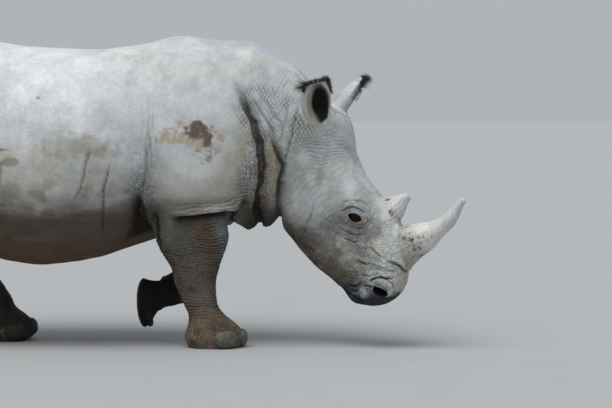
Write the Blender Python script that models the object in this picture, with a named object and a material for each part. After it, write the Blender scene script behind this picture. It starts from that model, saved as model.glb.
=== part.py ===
"""White rhinoceros cow in mid walk, life size, as a still display model. Metres, +Z up, the animal faces +X.

The body is one implicit shape: rounded bars (lofts) and ellipsoids that melt into each other. It is meshed
once, thinned out, and parted with thin cuts into head, neck, trunk and legs. Ears, tail, horns, eyes and
nails are shapes of their own. While it is modelled, X = 0 is the middle of the right fore sole; at the end
everything moves so that the origin lies on the floor under the middle of the whole.
"""

import math

import bmesh
import bpy
import numpy as np
from mathutils import Vector

# ---- driving sizes ----
GAP = 0.0003  # air between neighbouring pieces
BODY_STEP = 0.015  # grid of the body's first, fine mesh
EAR_STEP = 0.005
EAR_ROOM = 0.11  # more than half an ear's width
BODY_TRIANGLES = {"coarse": 2420, "middle": 3600, "fine": 7000}  # of the whole body, in each grade
BASE_CENTRE = (-0.338, 0.0)  # middle of the whole, on the floor

# ---- stations: (along, low, high, half width, sideways shift) across a bar ----
TRUNK = (
    (-1.48, 0.62, 1.578, 0.41, 0.0),
    (-1.22, 0.475, 1.592, 0.49, 0.0),
    (-0.93, 0.416, 1.568, 0.54, 0.0),
    (-0.65, 0.455, 1.553, 0.54, 0.0),
    (-0.40, 0.53, 1.583, 0.475, 0.0),
    (-0.17, 0.585, 1.624, 0.43, 0.0),
    (0.03, 0.62, 1.580, 0.38, 0.0),
    (0.16, 0.655, 1.566, 0.34, -0.005),
)
NECK = (
    (0.02, 0.68, 1.570, 0.34, -0.01),
    (0.20, 0.648, 1.572, 0.315, -0.02),
    (0.33, 0.66, 1.515, 0.285, -0.04),
    (0.43, 0.76, 1.450, 0.235, -0.055),
    (0.53, 0.90, 1.350, 0.185, -0.075),
)
HEAD = (
    (-0.06, -0.22, 0.150, 0.15, 0.0),
    (0.05, -0.29, 0.205, 0.185, 0.0),
    (0.22, -0.33, 0.165, 0.195, 0.0),
    (0.36, -0.345, 0.160, 0.195, 0.0),
    (0.50, -0.335, 0.190, 0.18, 0.0),
    (0.64, -0.295, 0.215, 0.155, 0.0),
    (0.77, -0.235, 0.190, 0.14, 0.0),
    (0.88, -0.195, 0.135, 0.135, 0.0),
)
FRONT_HORN = (  # along = height over the face, low and high = towards poll and muzzle
    (0.10, 0.655, 0.890, 0.100, 0.0),
    (0.17, 0.660, 0.885, 0.098, 0.0),
    (0.25, 0.675, 0.862, 0.085, 0.0),
    (0.32, 0.700, 0.850, 0.070, 0.0),
    (0.39, 0.720, 0.823, 0.052, 0.0),
    (0.50, 0.708, 0.782, 0.037, 0.0),
    (0.575, 0.682, 0.722, 0.020, 0.0),
)
REAR_HORN = (
    (0.14, 0.495, 0.660, 0.075, 0.0),
    (0.20, 0.500, 0.655, 0.070, 0.0),
    (0.26, 0.515, 0.620, 0.050, 0.0),
    (0.315, 0.525, 0.575, 0.026, 0.0),
)
EARS = {  # along = root to tip, low = back, high = towards the opening
    "right": (
        (0.0, -0.032, 0.028, 0.022, 0.0),
        (0.040, -0.042, 0.034, 0.050, 0.0),
        (0.08, -0.046, 0.036, 0.070, 0.0),
        (0.13, -0.046, 0.034, 0.082, 0.0),
        (0.20, -0.040, 0.026, 0.083, 0.0),
        (0.256, -0.028, 0.014, 0.064, 0.0),
    ),
    "left": (
        (0.0, -0.038, 0.034, 0.036, 0.0),
        (0.05, -0.044, 0.038, 0.052, 0.0),
        (0.11, -0.046, 0.038, 0.068, 0.0),
        (0.17, -0.046, 0.036, 0.070, 0.0),
        (0.225, -0.038, 0.030, 0.058, 0.0),
        (0.280, -0.020, 0.016, 0.032, 0.0),
    ),
}
EAR_HOLLOWS = {
    "right": (
        (0.018, 0.006, 0.060, 0.006, 0.0),
        (0.065, -0.016, 0.100, 0.044, 0.0),
        (0.12, -0.030, 0.100, 0.065, 0.0),
        (0.19, -0.028, 0.100, 0.069, 0.0),
        (0.246, -0.012, 0.100, 0.044, 0.0),
    ),
    "left": (
        (0.045, 0.002, 0.060, 0.010, 0.0),
        (0.080, -0.018, 0.100, 0.038, 0.0),
        (0.12, -0.030, 0.100, 0.054, 0.0),
        (0.18, -0.028, 0.100, 0.052, 0.0),
        (0.250, -0.012, 0.100, 0.028, 0.0),
    ),
}
EAR_CAPS = {"right": 0.014, "left": 0.008}
EAR_SHIFT = {"right": (0.0, 0.0, -0.025), "left": (-0.03, 0.0, 0.0)}
SIDES = {"right": -1, "left": 1}
FEET = {  # middle of the sole, up from it and towards the toes
    "foreleg_right": ((0.0, -0.17, 0.0), (0, 0, 1), (1, 0, 0)),
    "foreleg_left": ((-0.40, 0.19, 0.195), (1, 0, 0.03), (0.03, 0, -1)),
    "hindleg_right": ((-1.70, -0.20, 0.0), (0.03, 0, 1), (1, 0, -0.03)),
    "hindleg_left": ((-1.125, 0.13, 0.0), (-0.20, 0, 1), (1, 0, 0.20)),
}
LEG_BELLS = {  # where each leg parts from the trunk: centre, radii, dome, shoulder level, skirt level, flare
    "foreleg_right": ((-0.125, -0.235), (0.250, 0.228), 0.21, 0.50, 0.40, 1.3),
    "foreleg_left": ((-0.175, 0.235), (0.215, 0.228), 0.21, 0.48, 0.40, 1.60),
    "hindleg_right": ((-1.60, -0.285), (0.38, 0.280), 0.26, 0.44, 0.38, 1.0),
    "hindleg_left": ((-1.32, 0.275), (0.30, 0.305), 0.26, 0.43, 0.38, 1.35),
}
EAR_TURNS = {  # direction of the ear, and of its opening
    "right": ((-0.02, -0.36, 0.93), (0.46, -0.88, 0.0)),
    "left": ((0.58, 0.14, 0.80), (0.96, 0.28, 0.0)),
}
BODY_NODES = {
    "trunk": "coarse",
    "neck": "coarse",
    "head": "fine",
    "foreleg_right": "middle",
    "foreleg_left": "middle",
    "hindleg_right": "middle",
    "hindleg_left": "middle",
}
THROAT_CUT, THROAT_AHEAD = (0.385, -0.05, 1.0), (1.0, -0.16, 0.0)
CHEST_CUT = (0.20, 0.0, 1.0)
SOLE_LEVEL = 0.0015
TAIL_PATH = (
    (-1.80, 0.0, 1.38),
    (-1.905, 0.0, 1.25),
    (-1.95, 0.0, 1.05),
    (-1.945, 0.0, 0.85),
    (-1.93, 0.0, 0.66),
)
TAIL_RADII = (0.075, 0.055, 0.036, 0.030, 0.034)
EYE_RADIUS = 0.033
EYE_PLACE = (0.53, 0.072)  # u and v on the head
EYE_STANDS_OUT = 0.009
NAIL_TURNS = (-62, 0, 62)  # degrees from the middle toe
# lift of a nail's middle over the sole, its height over the hide, and its radii outwards, up and across
STANDING_NAIL = (0.050, 0.013, (0.034, 0.046, 0.060))
HANGING_NAIL = (0.026, 0.006, (0.024, 0.022, 0.044))
# name: stations, dome of the tip, step of its grid, triangles
HORNS = {
    "horn_front": (FRONT_HORN, 0.022, 0.0095, 230),
    "horn_rear": (REAR_HORN, 0.020, 0.0090, 120),
}
HORN_ROOM = 0.45  # half the box in which the horns are meshed
EAR_TRIANGLES = 300
TAIL_BOX = ((-2.05, -0.12, 0.55), (-1.70, 0.12, 1.50))
TAIL_STEP, TAIL_TRIANGLES = 0.01, 150
BODY_BOX = ((-2.0, -0.62, -0.03), (1.15, 0.62, 1.68))
# masses that melt into the bars: centre, radii, lengthwise axis, width of the blend; Y counts on both sides
TRUNK_MASSES = {
    "haunch": ((-1.44, 0.24, 1.00), (0.36, 0.40, 0.22), (1, 0, -0.35), 0.12),
    "hip point": ((-1.30, 0.33, 1.33), (0.17, 0.11, 0.12), (1, 0, 0), 0.14),
    "shoulder blade": ((-0.10, 0.24, 1.14), (0.25, 0.37, 0.195), (1, 0, 0.15), 0.12),
    "upper arm": ((-0.12, 0.27, 0.90), (0.235, 0.20, 0.18), (1, 0, 0), 0.05),
}
# (u, v, w) on the head, radii along these, width of the blend; w counts on both sides
HEAD_MASSES = {
    "rear horn's seat": ((0.595, 0.14, 0.0), (0.085, 0.075, 0.105), 0.04),
    "front horn's seat": ((0.765, 0.115, 0.0), (0.125, 0.10, 0.135), 0.05),
    "upper lip": ((0.905, -0.025, 0.0), (0.088, 0.110, 0.140), 0.03),
    "lower lip": ((0.865, -0.135, 0.0), (0.068, 0.062, 0.10), 0.02),
    "cheek": ((0.36, -0.15, 0.12), (0.20, 0.17, 0.085), 0.06),
    "brow": ((0.47, 0.095, 0.130), (0.09, 0.048, 0.055), 0.05),
    "ear root": ((0.02, 0.09, 0.13), (0.08, 0.09, 0.06), 0.05),
}
DEWLAPS = (  # lobes under the throat: centre and radii
    ((0.168, -0.03, 0.72), (0.056, 0.115, 0.15)),
    ((0.262, -0.03, 0.73), (0.060, 0.110, 0.145)),
)
# folds round the neck: X at a level, the level, half width, depth, lowest and highest point
SHOULDER_FOLD = (0.262, 0.92, 0.050, 0.020, 0.55, 1.40)
THROAT_FOLD = (0.368, 0.90, 0.045, 0.016, 0.55, 1.30)

# a foot and shank standing on its sole: along = height, low = rear, high = front, shift = outwards
FORE_FOOT = (
    (0.0, -0.135, 0.135, 0.135, 0.0),
    (0.05, -0.158, 0.158, 0.148, 0.0),
    (0.12, -0.142, 0.110, 0.135, 0.0),
    (0.17, -0.140, 0.050, 0.112, 0.0),
    (0.21, -0.157, 0.020, 0.10, 0.0),
    (0.27, -0.183, 0.008, 0.094, 0.0),
)
FORELEG = FORE_FOOT + (
    (0.34, -0.210, 0.006, 0.10, 0.0),
    (0.42, -0.230, 0.026, 0.108, 0.01),
    (0.50, -0.280, 0.055, 0.12, 0.02),
    (0.57, -0.320, 0.078, 0.13, 0.035),
    (0.74, -0.335, 0.085, 0.14, 0.06),
)
LIFTED_FOOT = (  # the same foot hanging toes down: low = heel, high = toes
    (0.0, -0.152, 0.136, 0.125, 0.0),
    (0.03, -0.142, 0.116, 0.125, 0.0),
    (0.06, -0.135, 0.066, 0.115, 0.0),
    (0.09, -0.132, 0.030, 0.102, 0.0),
    (0.13, -0.136, 0.006, 0.094, 0.0),
    (0.19, -0.150, -0.004, 0.090, 0.0),
)
HIND_FOOT = (
    (0.0, -0.12, 0.13, 0.12, 0.0),
    (0.05, -0.14, 0.152, 0.134, 0.0),
    (0.12, -0.130, 0.112, 0.12, 0.0),
    (0.18, -0.125, 0.055, 0.10, 0.0),
    (0.25, -0.135, 0.025, 0.088, 0.0),
)
# limbs as chains of round cones: path and radii
LIFTED_ARM = (((-0.16, 0.22, 0.72), (-0.13, 0.19, 0.34), (-0.26, 0.19, 0.262)), (0.165, 0.098, 0.07))
LANDING_LEG = (
    ((-1.40, 0.25, 0.92), (-1.25, 0.25, 0.72), (-1.33, 0.21, 0.55), (-1.41, 0.17, 0.41), (-1.20, 0.13, 0.19)),
    (0.27, 0.21, 0.15, 0.112, 0.092),
)
PUSHING_LEG = (
    ((-1.46, -0.25, 0.94), (-1.48, -0.26, 0.72), (-1.65, -0.24, 0.56), (-1.78, -0.22, 0.42),
     (-1.74, -0.20, 0.20)),
    (0.27, 0.215, 0.155, 0.114, 0.092),
)
HEAD_PITCH = math.radians(62.6)
HEAD_YAW = math.radians(-17.0)
HEAD_ORIGIN = (0.492, -0.06, 1.133)


# ---- shapes as signed distances, negative inside ----
def unit(vector):
    return np.array(vector, dtype=float) / np.linalg.norm(vector)


def frame(axis, up):
    """Three unit columns: along a bar, up across it and sideways."""
    along = unit(axis)
    side = unit(np.cross(up, along))
    return np.stack([along, np.cross(along, side), side], axis=1)


def smooth_table(places, values, count=240):
    """A cubic through the values with the slopes of their neighbours, sampled evenly."""
    places, values = np.array(places), np.array(values)
    slopes = np.gradient(values, places)
    at = np.linspace(places[0], places[-1], count)
    left = np.clip(np.searchsorted(places, at, side="right") - 1, 0, len(places) - 2)
    gap = places[left + 1] - places[left]
    t = (at - places[left]) / gap
    fall = 2 * t**3 - 3 * t**2 + 1
    bend = (t**3 - 2 * t**2 + t) * slopes[left] + (t**3 - t**2) * slopes[left + 1]
    return at, values[left] * fall + values[left + 1] * (1 - fall) + gap * bend


class Loft:
    """A rounded bar whose section, a superellipse, changes from station to station, with domed ends."""

    def __init__(self, stations, origin=(0, 0, 0), axis=(1, 0, 0), up=(0, 0, 1), caps=(0.1, 0.1), power=2.2,
                 waist=0.5, left=False):
        rows = np.array(stations)
        self.origin, self.frame = np.array(origin, dtype=float), frame(axis, up)
        if left:
            self.frame[:, 2] *= -1
        self.ends, self.caps, self.power, self.waist = (rows[0, 0], rows[-1, 0]), caps, power, waist
        self.tables = [smooth_table(rows[:, 0], rows[:, i]) for i in range(1, 5)]

    def __call__(self, points):
        local = (points - self.origin) @ self.frame
        along = np.clip(local[:, 0], *self.ends)
        low, high, half, shift = (np.interp(along, *table) for table in self.tables)
        widest = low + (high - low) * self.waist
        rise = local[:, 1] - widest
        reach = np.where(rise > 0, high - widest, widest - low)
        over = local[:, 0] - along
        cap = np.where(over > 0, self.caps[1], self.caps[0])
        parts = np.abs(np.stack([rise / reach, (local[:, 2] - shift) / half]))
        rim = np.sum(parts**self.power, axis=0) ** (1 / self.power) + 1e-6
        ratio = np.sqrt(rim**2 + (over / cap) ** 2)
        slope = (parts / rim) ** (self.power - 1) / np.stack([reach, half]) * (rim / ratio)
        steepness = np.sqrt(np.sum(slope**2, axis=0) + (over / cap**2 / ratio) ** 2)
        return (ratio - 1) / np.maximum(steepness, 0.5 / half)


class Ellipsoid:
    def __init__(self, centre, radii, axis=(1, 0, 0), up=(0, 0, 1)):
        self.centre, self.radii, self.frame = np.array(centre, dtype=float), np.array(radii), frame(axis, up)

    def __call__(self, points):
        local = (points - self.centre) @ self.frame
        near = np.linalg.norm(local / self.radii, axis=1) + 1e-6
        return near * (near - 1) / np.linalg.norm(local / self.radii**2, axis=1).clip(1e-6)


class Tube:
    """A chain of round cones along a path."""

    def __init__(self, path, radii):
        self.path, self.radii = np.array(path, dtype=float), radii

    def __call__(self, points):
        nearest = np.full(len(points), np.inf)
        for start, end, first, last in zip(self.path, self.path[1:], self.radii, self.radii[1:]):
            step = end - start
            t = np.clip((points - start) @ step / (step @ step), 0, 1)
            gap = np.linalg.norm(points - start - t[:, None] * step, axis=1)
            nearest = np.minimum(nearest, gap - first - (last - first) * t)
        return nearest


def blend(first, second, width):
    """Union of two distances, melted together over a width."""
    share = np.clip(0.5 + 0.5 * (second - first) / width, 0, 1)
    return second * (1 - share) + first * share - width * share * (1 - share)


def head_point(u, v, w):
    """A place on the head: u from poll to muzzle, v towards the forehead, w to the animal's left."""
    u_axis, v_axis, w_axis = head_frame()
    return np.array(HEAD_ORIGIN) + u * u_axis + v * v_axis + w * w_axis


def head_frame():
    forward = np.array([math.cos(HEAD_YAW), math.sin(HEAD_YAW), 0.0])
    down = np.array([0.0, 0.0, -1.0])
    u_axis = math.cos(HEAD_PITCH) * forward + math.sin(HEAD_PITCH) * down
    v_axis = math.sin(HEAD_PITCH) * forward - math.cos(HEAD_PITCH) * down
    return u_axis, v_axis, np.cross(v_axis, u_axis)


# ---- the animal ----
def melted(bar, masses):
    """A bar with masses that melt into it, each over its own width."""

    def shape(points):
        value = bar(points)
        for mass, width in masses:
            value = blend(value, mass(points), width)
        return value

    return shape


def trunk_shape():
    masses = []
    for (x, y, z), radii, axis, width in TRUNK_MASSES.values():
        masses += [(Ellipsoid((x, side * y, z), radii, axis), width) for side in SIDES.values()]
    return melted(Loft(TRUNK, caps=(0.43, 0.12), power=2.25, waist=0.46), masses)


def neck_shape():
    return Loft(NECK, caps=(0.15, 0.07), power=2.3, waist=0.5)


def head_shape():
    u_axis, v_axis, _ = head_frame()
    masses = []
    for (u, v, w), radii, width in HEAD_MASSES.values():
        for place in sorted({w, -w}):
            masses.append((Ellipsoid(head_point(u, v, place), radii, u_axis, v_axis), width))
    skull = Loft(HEAD, HEAD_ORIGIN, u_axis, v_axis, caps=(0.10, 0.10), power=2.4, waist=0.58)
    return melted(skull, masses)


def leg_shapes():
    """Every leg by name: its shape and the width of its blend with the trunk."""
    right_fore = Loft(FORELEG, *FEET["foreleg_right"], (0.02, 0.12), 2.4)
    lifted_foot = Loft(LIFTED_FOOT, *FEET["foreleg_left"], (0.048, 0.10), 2.4, left=True)
    lifted_arm = Tube(*LIFTED_ARM)
    landing_foot = Loft(HIND_FOOT, *FEET["hindleg_left"], (0.02, 0.10), 2.4, left=True)
    pushing_foot = Loft(HIND_FOOT, *FEET["hindleg_right"], (0.02, 0.10), 2.4)
    landing_leg, pushing_leg = Tube(*LANDING_LEG), Tube(*PUSHING_LEG)

    def fore_left(points):
        return blend(lifted_arm(points), lifted_foot(points), 0.05)

    def hind_left(points):
        return blend(landing_leg(points), landing_foot(points), 0.05)

    def hind_right(points):
        return blend(pushing_leg(points), pushing_foot(points), 0.05)

    return {
        "foreleg_right": (right_fore, 0.03),
        "foreleg_left": (fore_left, 0.03),
        "hindleg_right": (hind_right, 0.07),
        "hindleg_left": (hind_left, 0.07),
    }


def groove(points, value, ahead_at, level, half_width, depth, lowest, highest):
    """Sinks a fold that wraps the neck: its X is ahead_at at a level and falls back above and below it."""
    away = points[:, 0] - (ahead_at - 0.6 * (points[:, 2] - level) ** 2)
    fade = np.clip((points[:, 2] - lowest) / 0.12, 0, 1) * np.clip((highest - points[:, 2]) / 0.15, 0, 1)
    near = np.clip(1 - np.abs(away) / half_width, 0, 1)
    return value + depth * fade * near**2 * (3 - 2 * near)


def dewlap_shape():
    lobes = [Ellipsoid(*lobe) for lobe in DEWLAPS]
    return lambda points: np.minimum(*(lobe(points) for lobe in lobes))


def body_shape():
    trunk, neck, head, legs = trunk_shape(), neck_shape(), head_shape(), leg_shapes()
    dewlap = dewlap_shape()

    def shape(points):
        value = blend(trunk(points), neck(points), 0.09)
        value = groove(points, value, *SHOULDER_FOLD)
        value = blend(value, dewlap(points), 0.035)
        value = blend(value, head(points), 0.045)
        value = groove(points, value, *THROAT_FOLD)
        for leg, width in legs.values():
            value = blend(value, leg(points), width)
        return np.maximum(value, -points[:, 2])

    return shape


def softened(values):
    """Averages each value with its neighbours, so that no two sheets of a surface touch along an edge."""
    for axis in range(3):
        values = np.moveaxis(values, axis, 0)
        inner = (values[:-2] + 2 * values[1:-1] + values[2:]) / 4
        values = np.moveaxis(np.concatenate([values[:1], inner, values[-1:]]), 0, axis)
    return values


def surface_net(shape, low, high, step):
    """Corners and quads of the surface where a distance is zero, one corner in each cell that it crosses."""
    counts = np.ceil((np.array(high) - low) / step).astype(int) + 1
    axes = [low[i] + step * np.arange(counts[i]) for i in range(3)]
    layers = []
    for x in axes[0]:
        layer = np.stack(np.meshgrid([x], axes[1], axes[2], indexing="ij"), -1)
        layers.append(shape(layer.reshape(-1, 3)).reshape(layer.shape[1:3]))
    values = softened(np.stack(layers))
    cells = tuple(counts - 1)
    total, crossings = np.zeros(cells + (3,)), np.zeros(cells, dtype=int)
    edges = []
    for axis in range(3):
        near, far = np.moveaxis(values, axis, 0)[:-1], np.moveaxis(values, axis, 0)[1:]
        places = np.argwhere(np.moveaxis((near < 0) != (far < 0), 0, axis))
        first = values[tuple(places.T)]
        ahead = places.copy()
        ahead[:, axis] += 1
        second = values[tuple(ahead.T)]
        crossing = places.astype(float)
        crossing[:, axis] += first / (first - second)
        edges.append((places, first < 0))
        one, two = (axis + 1) % 3, (axis + 2) % 3
        for back in ((0, 0), (1, 0), (0, 1), (1, 1)):
            cell = places.copy()
            cell[:, one] -= back[0]
            cell[:, two] -= back[1]
            np.add.at(total, tuple(cell.T), crossing)
            np.add.at(crossings, tuple(cell.T), 1)
    used = crossings > 0
    number = np.cumsum(used).reshape(cells) - 1
    corners = low + step * total[used] / crossings[used][:, None]
    quads = []
    for axis, (places, leaves) in enumerate(edges):
        one, two = (axis + 1) % 3, (axis + 2) % 3
        ring = []
        for back in ((1, 1), (0, 1), (0, 0), (1, 0)):
            cell = places.copy()
            cell[:, one] -= back[0]
            cell[:, two] -= back[1]
            ring.append(number[tuple(cell.T)])
        ring = np.stack(ring, 1)
        quads.append(np.where(leaves[:, None], ring, ring[:, ::-1]))
    return corners, np.concatenate(quads)


def clean_net(shape, low, high, step):
    """Shifts the grid until no two sheets of the surface touch along an edge."""
    for shift in np.arange(12) / 12:
        corners, quads = surface_net(shape, np.array(low) - shift * step, high, step)
        edges = np.sort(np.stack([quads, np.roll(quads, -1, axis=1)], axis=2).reshape(-1, 2), axis=1)
        if np.all(np.unique(edges, axis=0, return_counts=True)[1] == 2):
            break
    return corners, quads


# ---- pieces of their own ----
def ear_root(name):
    return head_point(0.01, 0.10, SIDES[name] * 0.142) + EAR_SHIFT[name]


def ear_shape(name):
    root, (axis, opening) = ear_root(name), EAR_TURNS[name]
    outside = Loft(EARS[name], root, axis, opening, caps=(0.03, EAR_CAPS[name]), power=2.3)
    hollow = Loft(EAR_HOLLOWS[name], root, axis, opening, caps=(0.012, 0.010), power=2.2)
    return lambda points: -blend(-outside(points), hollow(points), 0.010)


def horn_shape(stations, cap):
    u_axis, v_axis, _ = head_frame()
    return Loft(stations, HEAD_ORIGIN, v_axis, u_axis, caps=(0.01, cap), power=2.1)


def surface_from(shape, start, direction, farthest=0.4):
    """The place where a line that starts inside a shape leaves it."""
    near, far = 0.0, farthest
    while far - near > 1e-5:
        middle = (near + far) / 2
        if shape(np.array([start + middle * direction]))[0] < 0:
            near = middle
        else:
            far = middle
    return start + near * direction


def eye_centre(head, side):
    outwards = side * head_frame()[2]
    return surface_from(head, head_point(*EYE_PLACE, 0), outwards) - (EYE_RADIUS - EYE_STANDS_OUT) * outwards


# ---- meshes ----
def mesh_object(name, corners, faces):
    mesh = bpy.data.meshes.new(name)
    mesh.from_pydata([tuple(corner) for corner in corners], [], [tuple(face) for face in faces])
    mesh.update()
    item = bpy.data.objects.new(name, mesh)
    bpy.context.collection.objects.link(item)
    return item


def net_object(name, shape, low, high, step, triangles):
    """A shape's surface as an object, thinned out to a number of triangles."""
    item = mesh_object(name, *clean_net(shape, low, high, step))
    thin_out(item, triangles)
    return item


def thin_out(item, triangles):
    modifier = item.modifiers.new("thin", "DECIMATE")
    modifier.ratio = triangles / (2 * len(item.data.polygons))
    apply_modifiers(item)


def apply_modifiers(item):
    evaluated = item.evaluated_get(bpy.context.evaluated_depsgraph_get())
    item.data = bpy.data.meshes.new_from_object(evaluated)
    item.modifiers.clear()


def copy_of(item, name):
    twin = item.copy()
    twin.data = item.data.copy()
    twin.name = name
    bpy.context.collection.objects.link(twin)
    return twin


def cutter(item):
    item.hide_render = True
    item.display_type = "WIRE"
    return item


def carve(item, tool, operation):
    modifier = item.modifiers.new(tool.name, "BOOLEAN")
    modifier.object = tool
    modifier.operation = operation
    modifier.solver = "EXACT"


def half_space(name, point, forward, grow=0.0):
    """A large block ahead of an upright plane through a point; grow moves the plane back."""
    ahead = unit(forward)
    side = np.array([-ahead[1], ahead[0], 0.0])
    up = np.cross(ahead, side)
    corners = []
    for distance in (-grow, 3.0):
        for across, rise in ((-2, -2), (2, -2), (2, 2), (-2, 2)):
            corners.append(np.array(point) + distance * ahead + across * side + rise * up)
    faces = [(0, 3, 2, 1), (4, 5, 6, 7), (0, 1, 5, 4), (1, 2, 6, 5), (2, 3, 7, 6), (3, 0, 4, 7)]
    return cutter(mesh_object(name, corners, faces))


def bell(name, centre, radii, dome, shoulder, skirt, flare, grow=0.0):
    """A dome over a leg: it rises from the shoulder level and grows longer fore and aft below the skirt."""
    rings = [(-0.1, flare), (skirt, flare), (shoulder, 1.0)]
    rings += [(shoulder + dome * math.sin(a), math.cos(a)) for a in np.radians((25, 50, 72))]
    count = 18
    corners = []
    for level, scale in rings:
        for angle in np.linspace(0, 2 * math.pi, count, endpoint=False):
            turns = math.cos(angle), math.sin(angle)
            ahead, aside = (math.copysign(abs(turn) ** 0.6, turn) for turn in turns)
            corners.append((centre[0] + (radii[0] * scale + grow) * ahead,
                            centre[1] + (radii[1] * min(scale, 1) + grow) * aside, level + grow))
    corners.append((*centre, shoulder + dome + grow))
    faces = [tuple(reversed(range(count)))]
    for ring in range(len(rings) - 1):
        for i in range(count):
            nxt = (i + 1) % count
            base = ring * count
            faces.append((base + i, base + nxt, base + count + nxt, base + count + i))
    last = (len(rings) - 1) * count
    faces += [(last + i, last + (i + 1) % count, len(corners) - 1) for i in range(count)]
    return cutter(mesh_object(name, corners, faces))


def ball(name, centre, radii, turn=None, segments=24, rings=12):
    """An ellipsoid; turn holds its three axes as columns."""
    mesh = bpy.data.meshes.new(name)
    sphere = bmesh.new()
    bmesh.ops.create_uvsphere(sphere, u_segments=segments, v_segments=rings, radius=1.0)
    for corner in sphere.verts:
        place = np.array(corner.co) * radii
        corner.co = Vector(np.array(centre) + (place if turn is None else turn @ place))
    sphere.to_mesh(mesh)
    sphere.free()
    item = bpy.data.objects.new(name, mesh)
    bpy.context.collection.objects.link(item)
    return item


def grown_copy(item, name, distance):
    """A wire copy with its surface moved outwards, to cut away what would touch the item."""
    twin = cutter(copy_of(item, name))
    normals = np.empty(3 * len(twin.data.vertices))
    places = np.empty_like(normals)
    twin.data.vertices.foreach_get("normal", normals)
    twin.data.vertices.foreach_get("co", places)
    twin.data.vertices.foreach_set("co", places + distance * normals)
    return twin


def material(name, colour, roughness):
    finish = bpy.data.materials.new(name)
    finish.use_nodes = True
    principled = finish.node_tree.nodes["Principled BSDF"]
    principled.inputs["Base Color"].default_value = (*colour, 1.0)
    principled.inputs["Roughness"].default_value = roughness
    return finish


# ---- the nodes ----
def body_meshes():
    """The whole body three times, with more and more facets, with the soles on one level plane."""
    net = mesh_object("net", *clean_net(body_shape(), *BODY_BOX, BODY_STEP))
    made = {}
    for grade, triangles in BODY_TRIANGLES.items():
        made[grade] = copy_of(net, f"body_{grade}")
        thin_out(made[grade], triangles)
        flatten_soles(made[grade])
        cutter(made[grade])
    bpy.data.objects.remove(net)
    return made


def flatten_soles(item):
    shape = bmesh.new()
    shape.from_mesh(item.data)
    everything = shape.verts[:] + shape.edges[:] + shape.faces[:]
    cut = bmesh.ops.bisect_plane(shape, geom=everything, dist=1e-6, plane_co=(0, 0, SOLE_LEVEL),
                                 plane_no=(0, 0, 1), clear_inner=True)
    rims = [edge for edge in cut["geom_cut"] if isinstance(edge, bmesh.types.BMEdge)]
    bmesh.ops.holes_fill(shape, edges=rims, sides=0)
    bmesh.ops.triangulate(shape, faces=shape.faces[:])
    bmesh.ops.recalc_face_normals(shape, faces=shape.faces[:])
    shape.to_mesh(item.data)
    shape.free()


def nails(name, leg, sole, up, toe):
    """Three broad nails round the front of a foot, each bedded in it."""
    up, toe = unit(up), unit(toe)
    across = np.cross(up, toe)
    lift, rise, radii = HANGING_NAIL if name.endswith("foreleg_left") else STANDING_NAIL
    made = []
    for number, turn in enumerate(np.radians(NAIL_TURNS)):
        outwards = math.cos(turn) * toe + math.sin(turn) * across
        rim = surface_from(leg, np.array(sole) + lift * up, outwards)
        axes = np.stack([outwards, up, np.cross(outwards, up)], axis=1)
        made.append(ball(f"{name}_{number + 1}", rim - (radii[0] - rise) * outwards, radii, axes, 10, 5))
    return made


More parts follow.
